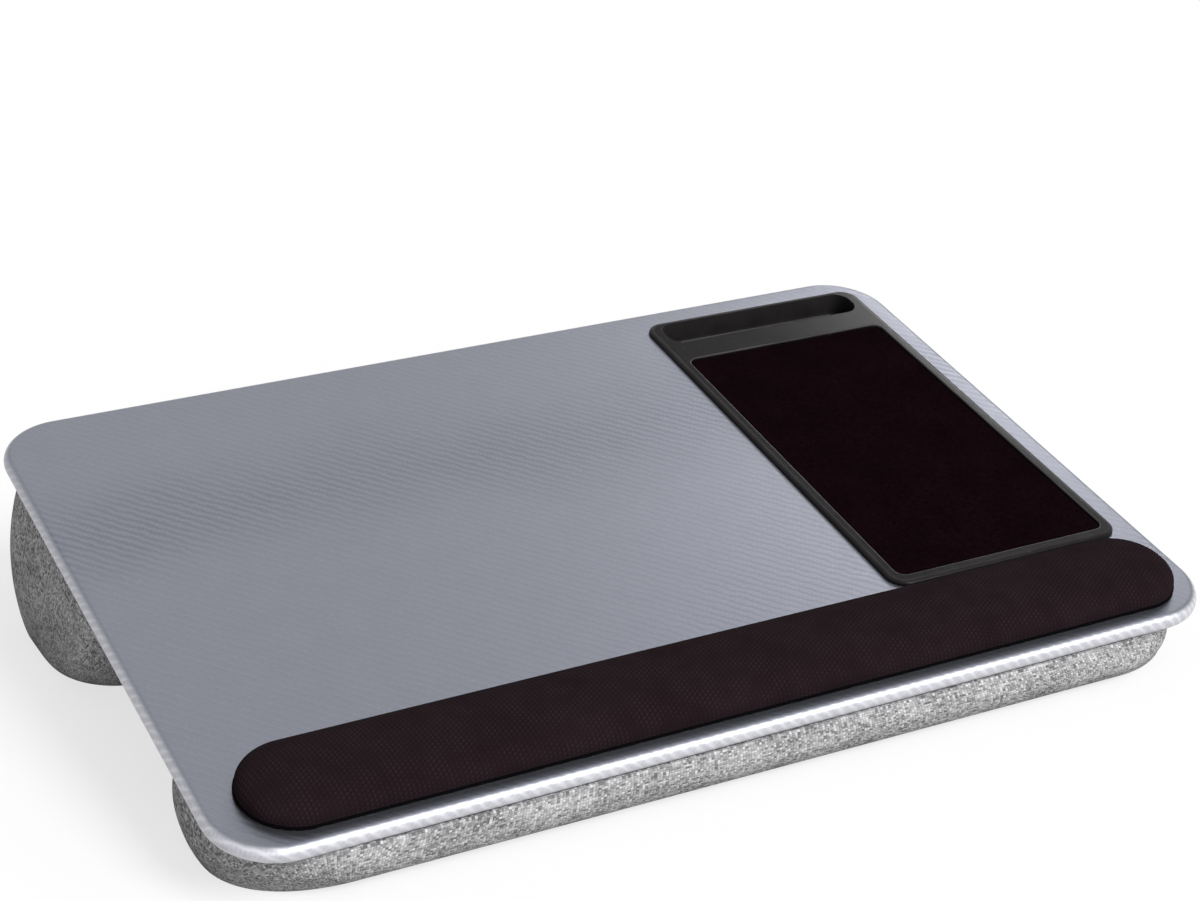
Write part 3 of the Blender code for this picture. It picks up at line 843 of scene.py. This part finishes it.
@dataclass(frozen=True)
class Speckled:
    """A hidden material: two colours mixed by noise, with a matching bump."""

    name: str
    first: Colour
    second: Colour
    size: float
    roughness: float = 0.7
    metallic: float = 0.0
    relief: float = 0.0001
    stretch: tuple[float, float, float] = (1.0, 1.0, 1.0)
    specular: float = 0.3

    def build(self) -> bpy.types.Material:
        """Returns the material."""
        n = Coat(self.name, Metallic=self.metallic, Specular_IOR_Level=self.specular)
        inputs = {0: n.objects(), 1: self.stretch}
        place = n.add("ShaderNodeVectorMath", inputs, operation="MULTIPLY").outputs[0]
        grain = n.group(EFFECTS.grain, Vector=place, Size=self.size)
        colour = n.mix(n.span(grain["Height"], 0.35, 0.65), self.first, self.second)
        rough = n.scaled(grain["Patch"], 0.15, self.roughness)
        return n.dressed(Base_Color=colour, Roughness=rough, Normal=n.bump(grain["Height"], self.relief, 0.7))


@dataclass
class Board:
    """The wooden panel and the ribbed film round it."""

    width: float = 0.536
    depth: float = 0.356
    corner: float = 0.034
    film: float = 0.0005
    turn_under: float = 0.0155
    side_shares: Pair = (0.58, 0.84)  # how strong the painted edge highlight on a side is at its rear end and at its front end
    corner_steps: int = 24
    edge_steps: int = 14

    def build(self, pocket: Outline) -> None:
        """Builds the film round the tray's pocket, and dresses the panel.

        The film's edge is a half circle: at the angle a above the level, a ring is drawn in by
        r (1 - cos a) and lies at the height r sin a from the board's middle. The inner skin is the same
        with the film's thickness less. On the flat film a ring lies as far out as its arc is long. The
        edge gets a painted highlight as cos a, less at the sides, and least at the rear, away from the
        lamps in front.

        Args:
            pocket: the opening for the tray.
        """
        size, corners = (self.width, self.depth), (self.corner, self.corner)
        outline = Outline.rounded((0, 0), size, corners, self.corner_steps)
        radius = SPACE.thickness / 2
        turns = np.linspace(math.pi / 2, -math.pi / 2, 2 * self.edge_steps + 1)

        def skin(depth: float) -> Rings:
            """Rings over the edge and under the board, at a depth below the film's face."""
            reach = radius - depth
            over = [(depth + reach * (1 - math.cos(a)), reach * math.sin(a) - radius) for a in turns]
            over.append((self.turn_under, depth - SPACE.thickness))
            return [at_height(outline.inset(inset), height) for inset, height in over]

        # Painted highlight: the edge is whitest where it faces the front, less at the sides and least at the
        # rear.
        side = np.interp(-outline.points[:, 1] / self.depth, (-0.5, 0.5), self.side_shares)
        rubbed = side + (1 - side) * np.maximum(-outline.normals[:, 1], 0)
        edges = [rubbed * math.cos(a) for a in turns] + [0.0] * (len(turns) + 2)
        places = [outline.inset(radius * (1 + a - math.pi / 2)) for a in turns]
        places.append(outline.inset(radius * (2 - math.pi) - self.turn_under))
        rings = skin(0.0) + skin(self.film)[::-1]
        hole = [at_height(pocket.points, height) for height in (0.0, -self.film)]
        surface = Surface()
        surface.rings(rings, places + places[::-1], edges)
        surface.rings(hole)
        surface.fill(rings[0], hole[0])
        surface.fill(rings[-1], hole[1])
        add_piece("film", surface, RibbedFilm().build(), "film", "board_film")
        dark, light = (0.36, 0.25, 0.14), (0.55, 0.41, 0.26)
        wood = Speckled("board", dark, light, 0.0011, roughness=0.8, stretch=(1.0, 2.5, 1.0))
        dress_nodes(wood.build(), "board", "board_core")


@dataclass
class Tray:
    """The moulded tray with its pad's pocket, its device slot and its screws."""

    width: float = 0.142
    front: float = -0.109
    rear: float = 0.1615
    x: float = 0.1825
    corner: float = 0.0105
    rise: float = 0.0025
    flange: float = 0.0018
    shoulder_width: float = 0.0028
    shoulder_drop: float = 0.0018
    shoulder_wear_and_reflection: Pair = (0.1, 0.5)  # how much wear and painted reflection the shoulder gets at its foot and at its crest
    side_rim: float = 0.0065
    front_rim: float = 0.007
    tub_bottom: float = -0.0042
    pocket_lip: float = 0.0008
    pocket_floor: float = -0.0024
    pocket_wear_and_reflection: Pair = (1.0, 0.0)  # how much wear and painted reflection the pocket's lip gets, and its wall
    pad_corner: float = 0.0055
    slot_size: Pair = (0.127, 0.0212)
    slot_rear_rim: float = 0.0033
    slot_corner: float = 0.009
    slot_depth: float = 0.0145
    slot_wall: float = 0.0014
    slot_lip: float = 0.0004
    slot_floor_round: float = 0.003
    # wear and painted reflection on the slot's lip and on its wall
    slot_wear_and_reflection: Pair = (0.3, 0.25)
    land: float = 0.018
    clearance: float = 0.0005
    wear_and_reflection_stop: float = 0.00004
    steps: int = 6

    def __post_init__(self) -> None:
        """Works out the outlines."""

        def rounded(front: float, rear: float, width: float, corner: float) -> Outline:
            """A rectangle about the tray's middle line, with all four corners alike."""
            return Outline.rounded((self.x, (front + rear) / 2), (width, rear - front), (corner, corner))

        slot_rear = self.rear - self.slot_rear_rim
        slot_front = slot_rear - self.slot_size[1]
        pocket_width = self.width - 2 * self.side_rim
        self.outer = rounded(self.front, self.rear, self.width, self.corner)
        self.slot = rounded(slot_front, slot_rear, self.slot_size[0], self.slot_corner)
        self.pocket = rounded(
            self.front + self.front_rim, slot_front - self.land, pocket_width, self.pad_corner
        )

    def board_pocket(self) -> Outline:
        """The opening that the board and the film have for the tray."""
        return Outline(self.outer.inset(self.flange - self.clearance), self.outer.normals)

    def opening(
        self, outline: Outline, lip: float, floor: float, foot: float, wear: Pair
    ) -> tuple[Rings, list[float]]:
        """Rings down a round-lipped opening in the tray.

        The lip is a quarter circle that opens the rim, and the foot one that draws the floor in. A first
        ring close round the lip keeps its wear and painted reflection off the land.

        Args:
            outline: the opening's straight wall.
            lip: radius of the rim's round.
            floor: height of its floor.
            foot: radius between wall and floor.
            wear: how much wear and painted reflection the lip gets, and the wall.

        Returns:
            The rings, and how much wear and painted reflection each one gets.
        """
        rim, wall = wear
        down = [(-lip - self.wear_and_reflection_stop, self.rise, 0.0)]
        for a in quarter(self.steps)[::-1]:
            c, s = 1 - math.cos(a), 1 - math.sin(a)
            down.append((-lip * c, self.rise - lip * s, wall + (rim - wall) * math.sin(a)))
        for a in quarter(self.steps):
            c, s = 1 - math.cos(a), 1 - math.sin(a)
            down.append((foot * c, floor + foot * s, wall * math.cos(a)))
        return [at_height(outline.inset(i), z) for i, z, _ in down], [share for _, _, share in down]

    def build(self) -> None:
        """Builds the tray and dresses the screws.

        The shoulder is a quarter ellipse from the outer wall to the rim's crest.
        """
        foot, crest = self.shoulder_wear_and_reflection
        over = [(self.flange, self.tub_bottom, 0.0), (self.flange, SEAT, 0.0), (0.0, SEAT, foot)]
        for a in quarter(2 * self.steps):
            inset = self.shoulder_width * (1 - math.cos(a))
            height = self.rise - self.shoulder_drop * (1 - math.sin(a))
            over.append((inset, height, foot + (crest - foot) * math.sin(a) ** 4))
        over.append((self.shoulder_width + self.wear_and_reflection_stop, self.rise, 0.0))
        rings = [at_height(self.outer.inset(inset), height) for inset, height, _ in over]
        floor = self.rise - self.slot_depth
        pocket = self.opening(self.pocket, self.pocket_lip, self.pocket_floor, SEAT, self.pocket_wear_and_reflection)
        slot = self.opening(self.slot, self.slot_lip, floor, self.slot_floor_round, self.slot_wear_and_reflection)
        around = self.slot.inset(-self.slot_wall)
        trough = [at_height(around, height) for height in (self.tub_bottom, floor - self.slot_wall)]
        surface = Surface()
        surface.rings(rings, None, [share for _, _, share in over])
        surface.fill(rings[-1], pocket[0][0], slot[0][0])
        surface.well(*pocket)
        surface.well(*slot)
        surface.fill(rings[0], trough[0])
        surface.well(trough)
        add_piece("tray_shell", surface, MouldedPlastic().build(), "tray_plastic", "tray")
        grey, pale = (0.50, 0.50, 0.52), (0.66, 0.66, 0.67)
        steel = Speckled("screw_steel", grey, pale, 0.0002, roughness=0.28, metallic=1.0, relief=0.00001)
        screws = [name for name in frame["nodes"] if name.startswith("tray_screw")]
        dress_nodes(steel.build(), "screw_steel", *screws)


@dataclass
class MousePad:
    """The cloth-topped pad in the tray."""

    tray: Tray
    top: float = 0.0012
    thickness: float = 0.0008
    edge_round: float = 0.0003
    steps: int = 4
    cloth: Cloth = Cloth(
        "pad_cloth",
        dark=(0.0035, 0.0014, 0.002),
        middle=(0.0065, 0.0026, 0.0036),
        light=(0.0105, 0.005, 0.0065),
        pitch=0.0004,
        weave=Weave.TWILL,
        relief=0.00006,
    )

    def build(self, foam: bpy.types.Material, adhesive: bpy.types.Material) -> None:
        """Builds the cloth as a plate with a rounded upper edge, and dresses what lies under it.

        Args:
            foam: finish of the rubber foam.
            adhesive: finish of the adhesive sheet.
        """
        outline = Outline(self.tray.pocket.inset(SEAT), self.tray.pocket.normals)
        rings = [at_height(outline.points, self.top - self.thickness)]
        for a in quarter(self.steps):
            inset = outline.inset(self.edge_round * (1 - math.cos(a)))
            rings.append(at_height(inset, self.top - self.edge_round * (1 - math.sin(a))))
        surface = Surface()
        surface.solid(rings)
        piece = add_piece("pad_cloth_top", surface, self.cloth.build(), "pad_cloth", "mouse_pad_cloth")
        dress_nodes(foam, "foam_rubber", "mouse_pad_foam")
        dress_nodes(adhesive, "adhesive", "mouse_pad_adhesive")


@dataclass
class WristRest:
    """The padded bar along the board's front edge."""

    length: float = 0.506
    depth: float = 0.0545
    x: float = 0.002
    y: float = -0.14205
    base_bottom: float = 0.0009
    base_thickness: float = 0.0012
    base_edge: float = 0.0003
    cover_inset: float = 0.0006
    dome_height: float = 0.0122
    side_height: float = 0.0016
    power: float = 2.2
    crest: float = 0.94
    end_steps: int = 32
    spacing: float = 0.004
    steps: int = 22

    def build(self, foam: bpy.types.Material, adhesive: bpy.types.Material) -> None:
        """Builds the cover and the base, and dresses what is inside.

        The cover's section is a superellipse: at the angle a, a ring is drawn in by the crest's share of
        the half depth times 1 - cos(a)^(2 / power), and rises by the height times sin(a)^(2 / power).

        Args:
            foam: finish of the rubber foam.
            adhesive: finish of the adhesive sheet.
        """
        half = self.depth / 2
        middle, size = (self.x, self.y), (self.length, self.depth)
        outline = Outline.rounded(middle, size, (half, half), self.end_steps, self.spacing)
        base_top = self.base_bottom + self.base_thickness
        shoulder = base_top + SEAT + self.side_height
        rise = base_top + self.dome_height - shoulder
        reach = (half - self.cover_inset) * self.crest
        insets, heights = [self.cover_inset], [base_top + SEAT]
        for a in quarter(self.steps):
            insets.append(self.cover_inset + reach * (1 - math.cos(a) ** (2 / self.power)))
            heights.append(shoulder + rise * math.sin(a) ** (2 / self.power))
        arc = np.concatenate([[0], np.cumsum(np.hypot(np.diff(insets), np.diff(heights)))])
        rings = [at_height(outline.inset(inset), height) for inset, height in zip(insets, heights)]
        cover = Surface()
        cover.solid(rings, [outline.inset(insets[-1] - (arc[-1] - s)) for s in arc])
        piece = add_piece("rest_cover", cover, MeshCloth().build(), "rest_cloth", "wrist_rest_cover")
        edge, top = self.base_edge, self.base_thickness
        shape = [(0.0, 0.0), (0.0, top - edge), (edge, top)]
        base = Surface()
        base.solid([at_height(outline.inset(inset), self.base_bottom + z) for inset, z in shape])
        # Its near-black foam is partly painted shade, a dark line under the rest.
        add_piece("rest_base", base, foam, "foam_rubber", "wrist_rest_base")
        pale = Speckled("rest_foam", (0.52, 0.50, 0.42), (0.70, 0.68, 0.60), 0.0008, roughness=0.9)
        dress_nodes(pale.build(), "rest_foam", "wrist_rest_foam")
        dress_nodes(adhesive, "adhesive", "wrist_rest_adhesive")


@dataclass(frozen=True)
class Trough:
    """What sinks into a cushion's top."""

    outline: Outline
    bottom: float

    def rings(self, top: float, gap: float) -> Rings:
        """Its outline at the top and at the bottom, both a gap away from it."""
        points = self.outline.inset(-gap)
        return [at_height(points, top), at_height(points, self.bottom - gap)]


@dataclass(frozen=True)
class Draws:
    """How far a cushion's foot is drawn in at its front, at its rear and at each end."""

    front: float
    rear: float
    end: float


@dataclass
class Cushion:
    """A stuffed cushion between the board and the floor."""

    SIDE_POINTS = 60  # parts of each long side, the same on every ring
    END_POINTS = 16  # parts of each end
    CORNER_STEPS = 24
    FILL = 0.85

    name: str
    half_length: float
    front: float
    rear: float
    corners: Pair
    bulge: float
    draws: Draws
    power: float
    askew: float = 0.0
    foot_corners: Pair | None = None
    top: float = -0.0108
    flat_cut: float = 0.0005
    hem_width: float = 0.0036
    hem_height: float = 0.0013
    hem_steps: int = 8
    steps: int = 30
    wall: float = 0.001
    give: float = 0.0014
    grip: float = 0.0015
    pressure: float = 4.0
    frames: int = 20
    evenings: int = 20

    def outline_at(self, depth_share: float, draw_share: float) -> Outline:
        """The cushion's outline at a share of its depth and of its draws, with the same points at all."""
        swell = self.bulge * 4 * depth_share * (1 - depth_share)
        low = self.front + self.draws.front * draw_share - swell
        high = self.rear - self.draws.rear * draw_share + swell
        width = 2 * (self.half_length - self.draws.end * draw_share + swell)
        foot = self.foot_corners or self.corners
        corners = tuple(a + (b - a) * depth_share for a, b in zip(self.corners, foot))
        middle, size = (0, (low + high) / 2), (width, high - low)
        bare = Outline.rounded(middle, size, corners, self.CORNER_STEPS, spacing=width)
        counts = [self.SIDE_POINTS, self.END_POINTS] * 2
        outline = Outline.joined(np.split(bare.points, 4), np.split(bare.normals, 4), counts)
        outline.points[:, 1] -= self.askew * depth_share * outline.points[:, 0]
        return outline

    def rings(self) -> tuple[Rings, Rings]:
        """Rings from the top over the hem and down the side, each with its place on the flat cloth.

        The hem is half an ellipse: at the angle b, a ring is drawn in by w (1 + cos b) / 2 and rises by
        h sin b. Down the side the depth's share is d = sin(a)^(2 / power) and the draw's share is
        1 - cos(a)^(2 / power), and the side swells by the bulge times 4 d (1 - d). The foot is turned
        askew by moving each point to the front by x times the slope times d. The floor presses what
        would lie below it flat, and the rings end with the first one that lies all on the floor.

        Returns:
            The rings, and the places.
        """
        upper = self.outline_at(0.0, 0.0)
        rings = []
        for b in np.linspace(0, math.pi, self.hem_steps + 1)[:-1]:
            inset = upper.inset(self.hem_width * (1 + math.cos(b)) / 2)
            rings.append(at_height(inset, self.top + self.hem_height * math.sin(b)))
        for a in quarter(self.steps):
            depth_share = math.sin(a) ** (2 / self.power)
            outline = self.outline_at(depth_share, 1 - math.cos(a) ** (2 / self.power))
            floor = SPACE.floor_height(outline.points[:, 1])
            height = self.top + (floor - self.flat_cut - self.top) * depth_share
            rings.append(at_height(outline.points, np.maximum(height, floor)))
            if (height <= floor).all():
                break
        steps = [float(np.linalg.norm(b - a, axis=1).mean()) for a, b in zip(rings, rings[1:])]
        arcs = np.concatenate([[0.0], np.cumsum(steps)])
        return rings, [upper.inset(arcs[self.hem_steps] - arc) for arc in arcs]

    def close(self, surface: Surface, rings: Rings, trough: Trough | None, gap: float) -> None:
        """Fills the last ring, and the first one round the trough.

        Args:
            surface: what the faces are added to.
            rings: its rings, from the top down.
            trough: what sinks into the top, or None.
            gap: how far the trough's own wall stays off it.
        """
        end = len(rings[0]) - self.END_POINTS // 2
        surface.fill_rows(rings[-1], end)
        if trough is None:
            surface.fill_rows(rings[0], end)
            return
        sides = trough.rings(float(rings[0][0, 2]), gap)
        surface.fill(rings[0], sides[0])
        surface.well(sides)

    def build(
        self,
        cloth: bpy.types.Material,
        beads: bpy.types.Material,
        trough: Trough | None = None,
        gap: float = 0.0,
    ) -> None:
        """Builds the cover and the filling.

        The filling's rings are the cover's from below the hem on, each drawn in by the wall, and kept the
        wall away from the floor and the top.

        Args:
            cloth: the cover's finish.
            beads: the filling's finish.
            trough: what sinks into its top, or None.
            gap: how far the cover stays off the trough.
        """
        rings, places = self.rings()
        cover = Surface()
        cover.rings(rings, places)
        self.close(cover, rings, trough, gap)
        piece = add_piece(self.name, cover, cloth, "cushion_cloth", f"{self.name}_cover")
        self.stuff(piece)
        inward = self.wall * self.outline_at(0.0, 0.0).normals
        inner = []
        for ring in rings[self.hem_steps :]:
            flat = ring[:, :2] - inward
            low = SPACE.floor_height(flat[:, 1]) + self.wall
            inner.append(at_height(flat, np.clip(ring[:, 2], low, self.top - self.wall)))
        filling = Surface()
        filling.rings(inner)
        self.close(filling, inner, trough, gap + self.wall / 2)
        name = f"{self.name}_filling"
        piece = add_piece(f"{self.name}_beads", filling, beads, "cushion_filling", name)

    def stuff(self, piece: bpy.types.Object) -> None:
        """Swells the side with a cloth simulation.

        The hem and the foot are held, and the side yields to the filling's pressure. Of each point's move
        the part along the normal is kept, where it points outwards, up to the give. It is evened out by
        taking the mean of a point and its neighbours a few times, which leaves a soft swelling.

        Args:
            piece: the cover.
        """
        mesh = piece.data
        start, normals = np.empty((2, len(mesh.vertices) * 3), np.float32)
        mesh.vertices.foreach_get("co", start)
        mesh.vertices.foreach_get("normal", normals)
        start, normals = start.reshape(-1, 3), normals.reshape(-1, 3)
        held = (SPACE.local(start)[:, 2] > self.top - self.grip) | (start[:, 2] < self.grip)
        move = self.simulate(piece, np.flatnonzero(held).tolist()) - start
        swell = np.maximum((move * normals).sum(1), 0)
        log.info("%s: the filling pushes its side out by up to %.1f mm", self.name, swell.max() * 1000)
        swell = self.give * np.tanh(swell / self.give)
        swell[held] = 0
        one, other = np.array([edge.vertices[:] for edge in mesh.edges]).T
        for _ in range(self.evenings):
            total, count = swell.copy(), np.ones(len(swell))
            for here, there in ((one, other), (other, one)):
                np.add.at(total, here, swell[there])
                np.add.at(count, here, 1)
            swell = np.where(held, 0, total / count)
        mesh.vertices.foreach_set("co", (start + swell[:, None] * normals).astype(np.float32).ravel())
        mesh.update()

    def simulate(self, piece: bpy.types.Object, held: list[int]) -> np.ndarray:
        """Runs the cloth simulation on a piece and takes it off again.

        Args:
            piece: the cover.
            held: its points that don't move.

        Returns:
            Where the points are at the end.
        """
        scene = bpy.context.scene
        group = piece.vertex_groups.new(name="held")
        group.add(held, 1.0, "REPLACE")
        modifier = piece.modifiers.new("stuffing", "CLOTH")
        settings = modifier.settings
        settings.quality, settings.mass = 6, 0.15
        settings.tension_stiffness = settings.compression_stiffness = 15
        settings.shear_stiffness, settings.bending_stiffness = 5, 0.5
        settings.vertex_group_mass = group.name
        settings.use_pressure, settings.uniform_pressure_force = True, self.pressure
        settings.effector_weights.gravity = 0
        modifier.point_cache.frame_start, modifier.point_cache.frame_end = 1, self.frames
        for moment in range(1, self.frames + 1):
            scene.frame_set(moment)
        shaped = piece.evaluated_get(bpy.context.evaluated_depsgraph_get()).to_mesh()
        end = np.empty(len(shaped.vertices) * 3, np.float32)
        shaped.vertices.foreach_get("co", end)
        piece.modifiers.remove(modifier)
        piece.vertex_groups.remove(group)
        scene.frame_set(1)
        return end.reshape(-1, 3)


@dataclass
class Cushions:
    """Both cushions and the cloth that they are sewn to."""

    front: Cushion = field(
        default_factory=lambda: Cushion(
            name="front_cushion",
            half_length=0.26125,
            front=-0.1773,
            rear=-0.0533,
            corners=(0.060, 0.060),
            bulge=0.0036,
            draws=Draws(front=0.01203, rear=0.05208, end=0.0013),
            power=3.0,
            askew=0.010,
        )
    )
    rear: Cushion = field(
        default_factory=lambda: Cushion(
            name="rear_cushion",
            half_length=0.2658,
            front=0.013,
            rear=0.1645,
            corners=(0.022, 0.038),
            bulge=0.0044,
            draws=Draws(front=0.0635, rear=0.00606, end=0.0008),
            power=2.7,
            foot_corners=(0.038, 0.040),
            hem_width=0.0018,
        )
    )
    backing_top: float = -0.0093
    backing_thickness: float = 0.0012
    backing_corner: float = 0.027
    heather: Cloth = Cloth(
        "cushion_cloth",
        dark=(0.165, 0.162, 0.165),
        middle=(0.415, 0.409, 0.415),
        light=(0.69, 0.68, 0.69),
        pitch=0.0015,
        slub=3.5,
        relief=0.00025,
        shade=0.35,
    )
    lining: Cloth = Cloth(
        "backing_cloth",
        dark=(0.12, 0.115, 0.11),
        middle=(0.20, 0.19, 0.185),
        light=(0.29, 0.28, 0.27),
        pitch=0.0006,
        shade=0.4,
    )
    beads: Speckled = Speckled(
        "cushion_filling", (0.70, 0.70, 0.68), (0.88, 0.88, 0.86), 0.0025, roughness=0.8, relief=0.001
    )

    def build(self, tray: Tray, adhesive: bpy.types.Material) -> None:
        """Builds the covers, the fillings and the backing, and dresses the glue.

        Args:
            tray: its slot's trough passes through the backing.
            adhesive: finish of the adhesive sheet.
        """
        heather, beads = self.heather.build(), self.beads.build()
        gap = tray.slot_wall + tray.clearance
        self.front.build(heather, beads)
        trough = Trough(tray.slot, tray.rise - tray.slot_depth - tray.clearance)
        self.rear.build(heather, beads, trough, gap)
        self.build_backing(tray.slot.inset(-gap))
        dress_nodes(adhesive, "adhesive", "cushion_adhesive")

    def build_backing(self, hole: np.ndarray) -> None:
        """Builds the flat cloth that lies inside the covers' hems.

        Args:
            hole: the opening for the tray's trough.
        """
        tuck, rear_tuck = (cushion.hem_width + 2 * SEAT for cushion in (self.front, self.rear))
        low, high = self.front.front + tuck, self.rear.rear - rear_tuck
        flat = (2 * (self.front.half_length - tuck), high - low)
        corners = (self.front.corners[0] - tuck, self.backing_corner)
        outline = Outline.rounded((0, (low + high) / 2), flat, corners)
        heights = (self.backing_top - self.backing_thickness, self.backing_top)
        outer, inner = ([at_height(loop, z) for z in heights] for loop in (outline.points, hole))
        surface = Surface()
        surface.rings(outer)
        surface.rings(inner)
        surface.fill(outer[0], inner[0])
        surface.fill(outer[1], inner[1])
        piece = add_piece("backing", surface, self.lining.build(), "backing_cloth", "cushion_backing")


def towards(azimuth: float, elevation: float) -> Vector:
    """The direction from the object to a place: 0 degrees is in front of it, 90 is to its right."""
    a, e = math.radians(azimuth), math.radians(elevation)
    return Vector((math.sin(a) * math.cos(e), -math.cos(a) * math.cos(e), math.sin(e)))


@dataclass(frozen=True)
class Lamp:
    """A lamp so far away that it lights all places alike.

    The azimuth is its side in degrees, where 0 is in front of the object and 90 to its right, and the
    elevation is its height above the horizon. The power is its strength on a surface that faces it. The
    spread is how wide it looks in degrees, which softens its shadows.
    """

    name: str
    azimuth: float
    elevation: float
    power: float
    spread: float

    def build(self) -> None:
        """Makes the lamp."""
        data = bpy.data.lights.new(self.name, "SUN")
        data.energy, data.angle = self.power, math.radians(self.spread)
        light = bpy.data.objects.new(self.name, data)
        place = towards(self.azimuth, self.elevation)
        light.location = 2 * place
        light.rotation_euler = place.to_track_quat("Z", "Y").to_euler()
        bpy.context.scene.collection.objects.link(light)


@dataclass
class Studio:
    """The floor, the lights and the camera."""

    camera_target: tuple[float, float, float] = (0.0281, 0.0505, 0.0801)
    camera_distance: float = 1.3321
    azimuth: float = -27.912
    elevation: float = 22.544
    lens: float = 74.694
    sensor: float = 36.0
    floor_size: float = 60.0
    floor_drop: float = 0.0003
    floor_white: float = 0.92
    floor_grey: float = 0.45
    floor_glow: float = 0.7
    sky_light: float = 0.35
    lamps: tuple[Lamp, ...] = (
        Lamp("key", 25, 40, 2.8, 28),
        Lamp("fill", -12, 12, 0.8, 40),
        Lamp("top", 25, 66, 0.25, 20),
        Lamp("rim", 134, 34, 0.2, 9),
        Lamp("rear", 166, 50, 0.05, 30),
    )

    def build(self) -> None:
        """Makes everything round the object."""
        self.make_floor()
        self.make_world()
        for lamp in self.lamps:
            lamp.build()
        self.make_camera()

    def make_floor(self) -> None:
        """A wide floor just below the cushions.

        It looks white, and throws less light on the object than it seems to. A part of its white is a
        glow that only the camera and mirrors see, which softens the shadow. It is clear from below, and
        to light that reaches the cushions' undersides, so that those show when seen from below.
        """
        half, drop = self.floor_size / 2, self.floor_drop
        corners = [(-half, -half), (half, -half), (half, half), (-half, half)]
        mesh = bpy.data.meshes.new("floor")
        mesh.from_pydata([(x, y, -drop) for x, y in corners], [], [(0, 1, 2, 3)])
        floor = bpy.data.objects.new("floor", mesh)
        bpy.context.scene.collection.objects.link(floor)
        n = Coat("floor", Roughness=0.9, Specular_IOR_Level=0.0)
        path = n.add("ShaderNodeLightPath").outputs
        seen = n.math("MAXIMUM", path["Is Camera Ray"], path["Is Glossy Ray"])
        level = n.scaled(seen, self.floor_white - self.floor_grey, self.floor_grey)
        level = n.scaled(n.noise(n.objects(), 3.0), 0.01, level)
        mesh.materials.append(n.dressed(Base_Color=n.join(level, level, level)))
        glow = n.add("ShaderNodeEmission", {"Color": rgba((1, 1, 1)), "Strength": 1.0}).outputs[0]
        share = n.times(seen, self.floor_glow)
        lit = n.add("ShaderNodeMixShader", {0: share, 1: n.shader.outputs[0], 2: glow}).outputs[0]
        clear = n.add("ShaderNodeBsdfTransparent").outputs[0]
        behind = n.add("ShaderNodeNewGeometry").outputs["Backfacing"]
        near = n.math("LESS_THAN", path["Ray Length"], 3 * drop)
        near = n.times(near, n.minus(1.0, path["Is Camera Ray"]))
        open_below = n.math("MAXIMUM", behind, near)
        mixed = n.add("ShaderNodeMixShader", {0: open_below, 1: lit, 2: clear}).outputs[0]
        n.feed(n.tree.nodes["Material Output"], {"Surface": mixed})

    def make_world(self) -> None:
        """White surroundings, which light the object less than they show."""
        world = bpy.data.worlds.new("studio")
        bpy.context.scene.world = world
        world.use_nodes = True
        n = Nodes(world.node_tree)
        path = n.add("ShaderNodeLightPath").outputs
        mirrored = n.math("MAXIMUM", path["Is Glossy Ray"], path["Is Transmission Ray"])
        seen = n.math("MAXIMUM", path["Is Camera Ray"], mirrored)
        strength = n.scaled(seen, 1 - self.sky_light, self.sky_light)
        n.feed(n.tree.nodes["Background"], {"Color": rgba((1, 1, 1)), "Strength": strength})

    def make_camera(self) -> None:
        """The camera, at the photograph's angle and distance."""
        back = towards(self.azimuth, self.elevation)
        data = bpy.data.cameras.new("camera")
        data.lens, data.sensor_width, data.sensor_fit = self.lens, self.sensor, "HORIZONTAL"
        camera = bpy.data.objects.new("camera", data)
        camera.location = Vector(self.camera_target) + back * self.camera_distance
        camera.rotation_euler = (-back).to_track_quat("-Z", "Y").to_euler()
        bpy.context.scene.collection.objects.link(camera)
        bpy.context.scene.camera = camera


def write_sizes() -> None:
    """Updates the view layer.
    """
    bpy.context.view_layer.update()


def main() -> None:
    """Builds every sub-assembly in order."""
    logging.basicConfig(level=logging.INFO, format="%(name)s: %(message)s")
    bpy.context.scene.view_settings.view_transform = "Standard"
    # The foam's near-black is partly its own colour and partly painted shade, which makes the rest's base a
    # dark shadow line.
    black, grey = (0.001, 0.001, 0.0015), (0.003, 0.003, 0.004)
    foam = Speckled("foam_rubber", black, grey, 0.0006, roughness=0.85, specular=0.02).build()
    adhesive = Speckled("adhesive", (0.70, 0.67, 0.57), (0.80, 0.77, 0.68), 0.003, roughness=0.5).build()
    tray = Tray()
    Board().build(tray.board_pocket())
    tray.build()
    MousePad(tray).build(foam, adhesive)
    WristRest().build(foam, adhesive)
    Cushions().build(tray, adhesive)
    Studio().build()
    write_sizes()


if __name__ == "__main__":
    main()
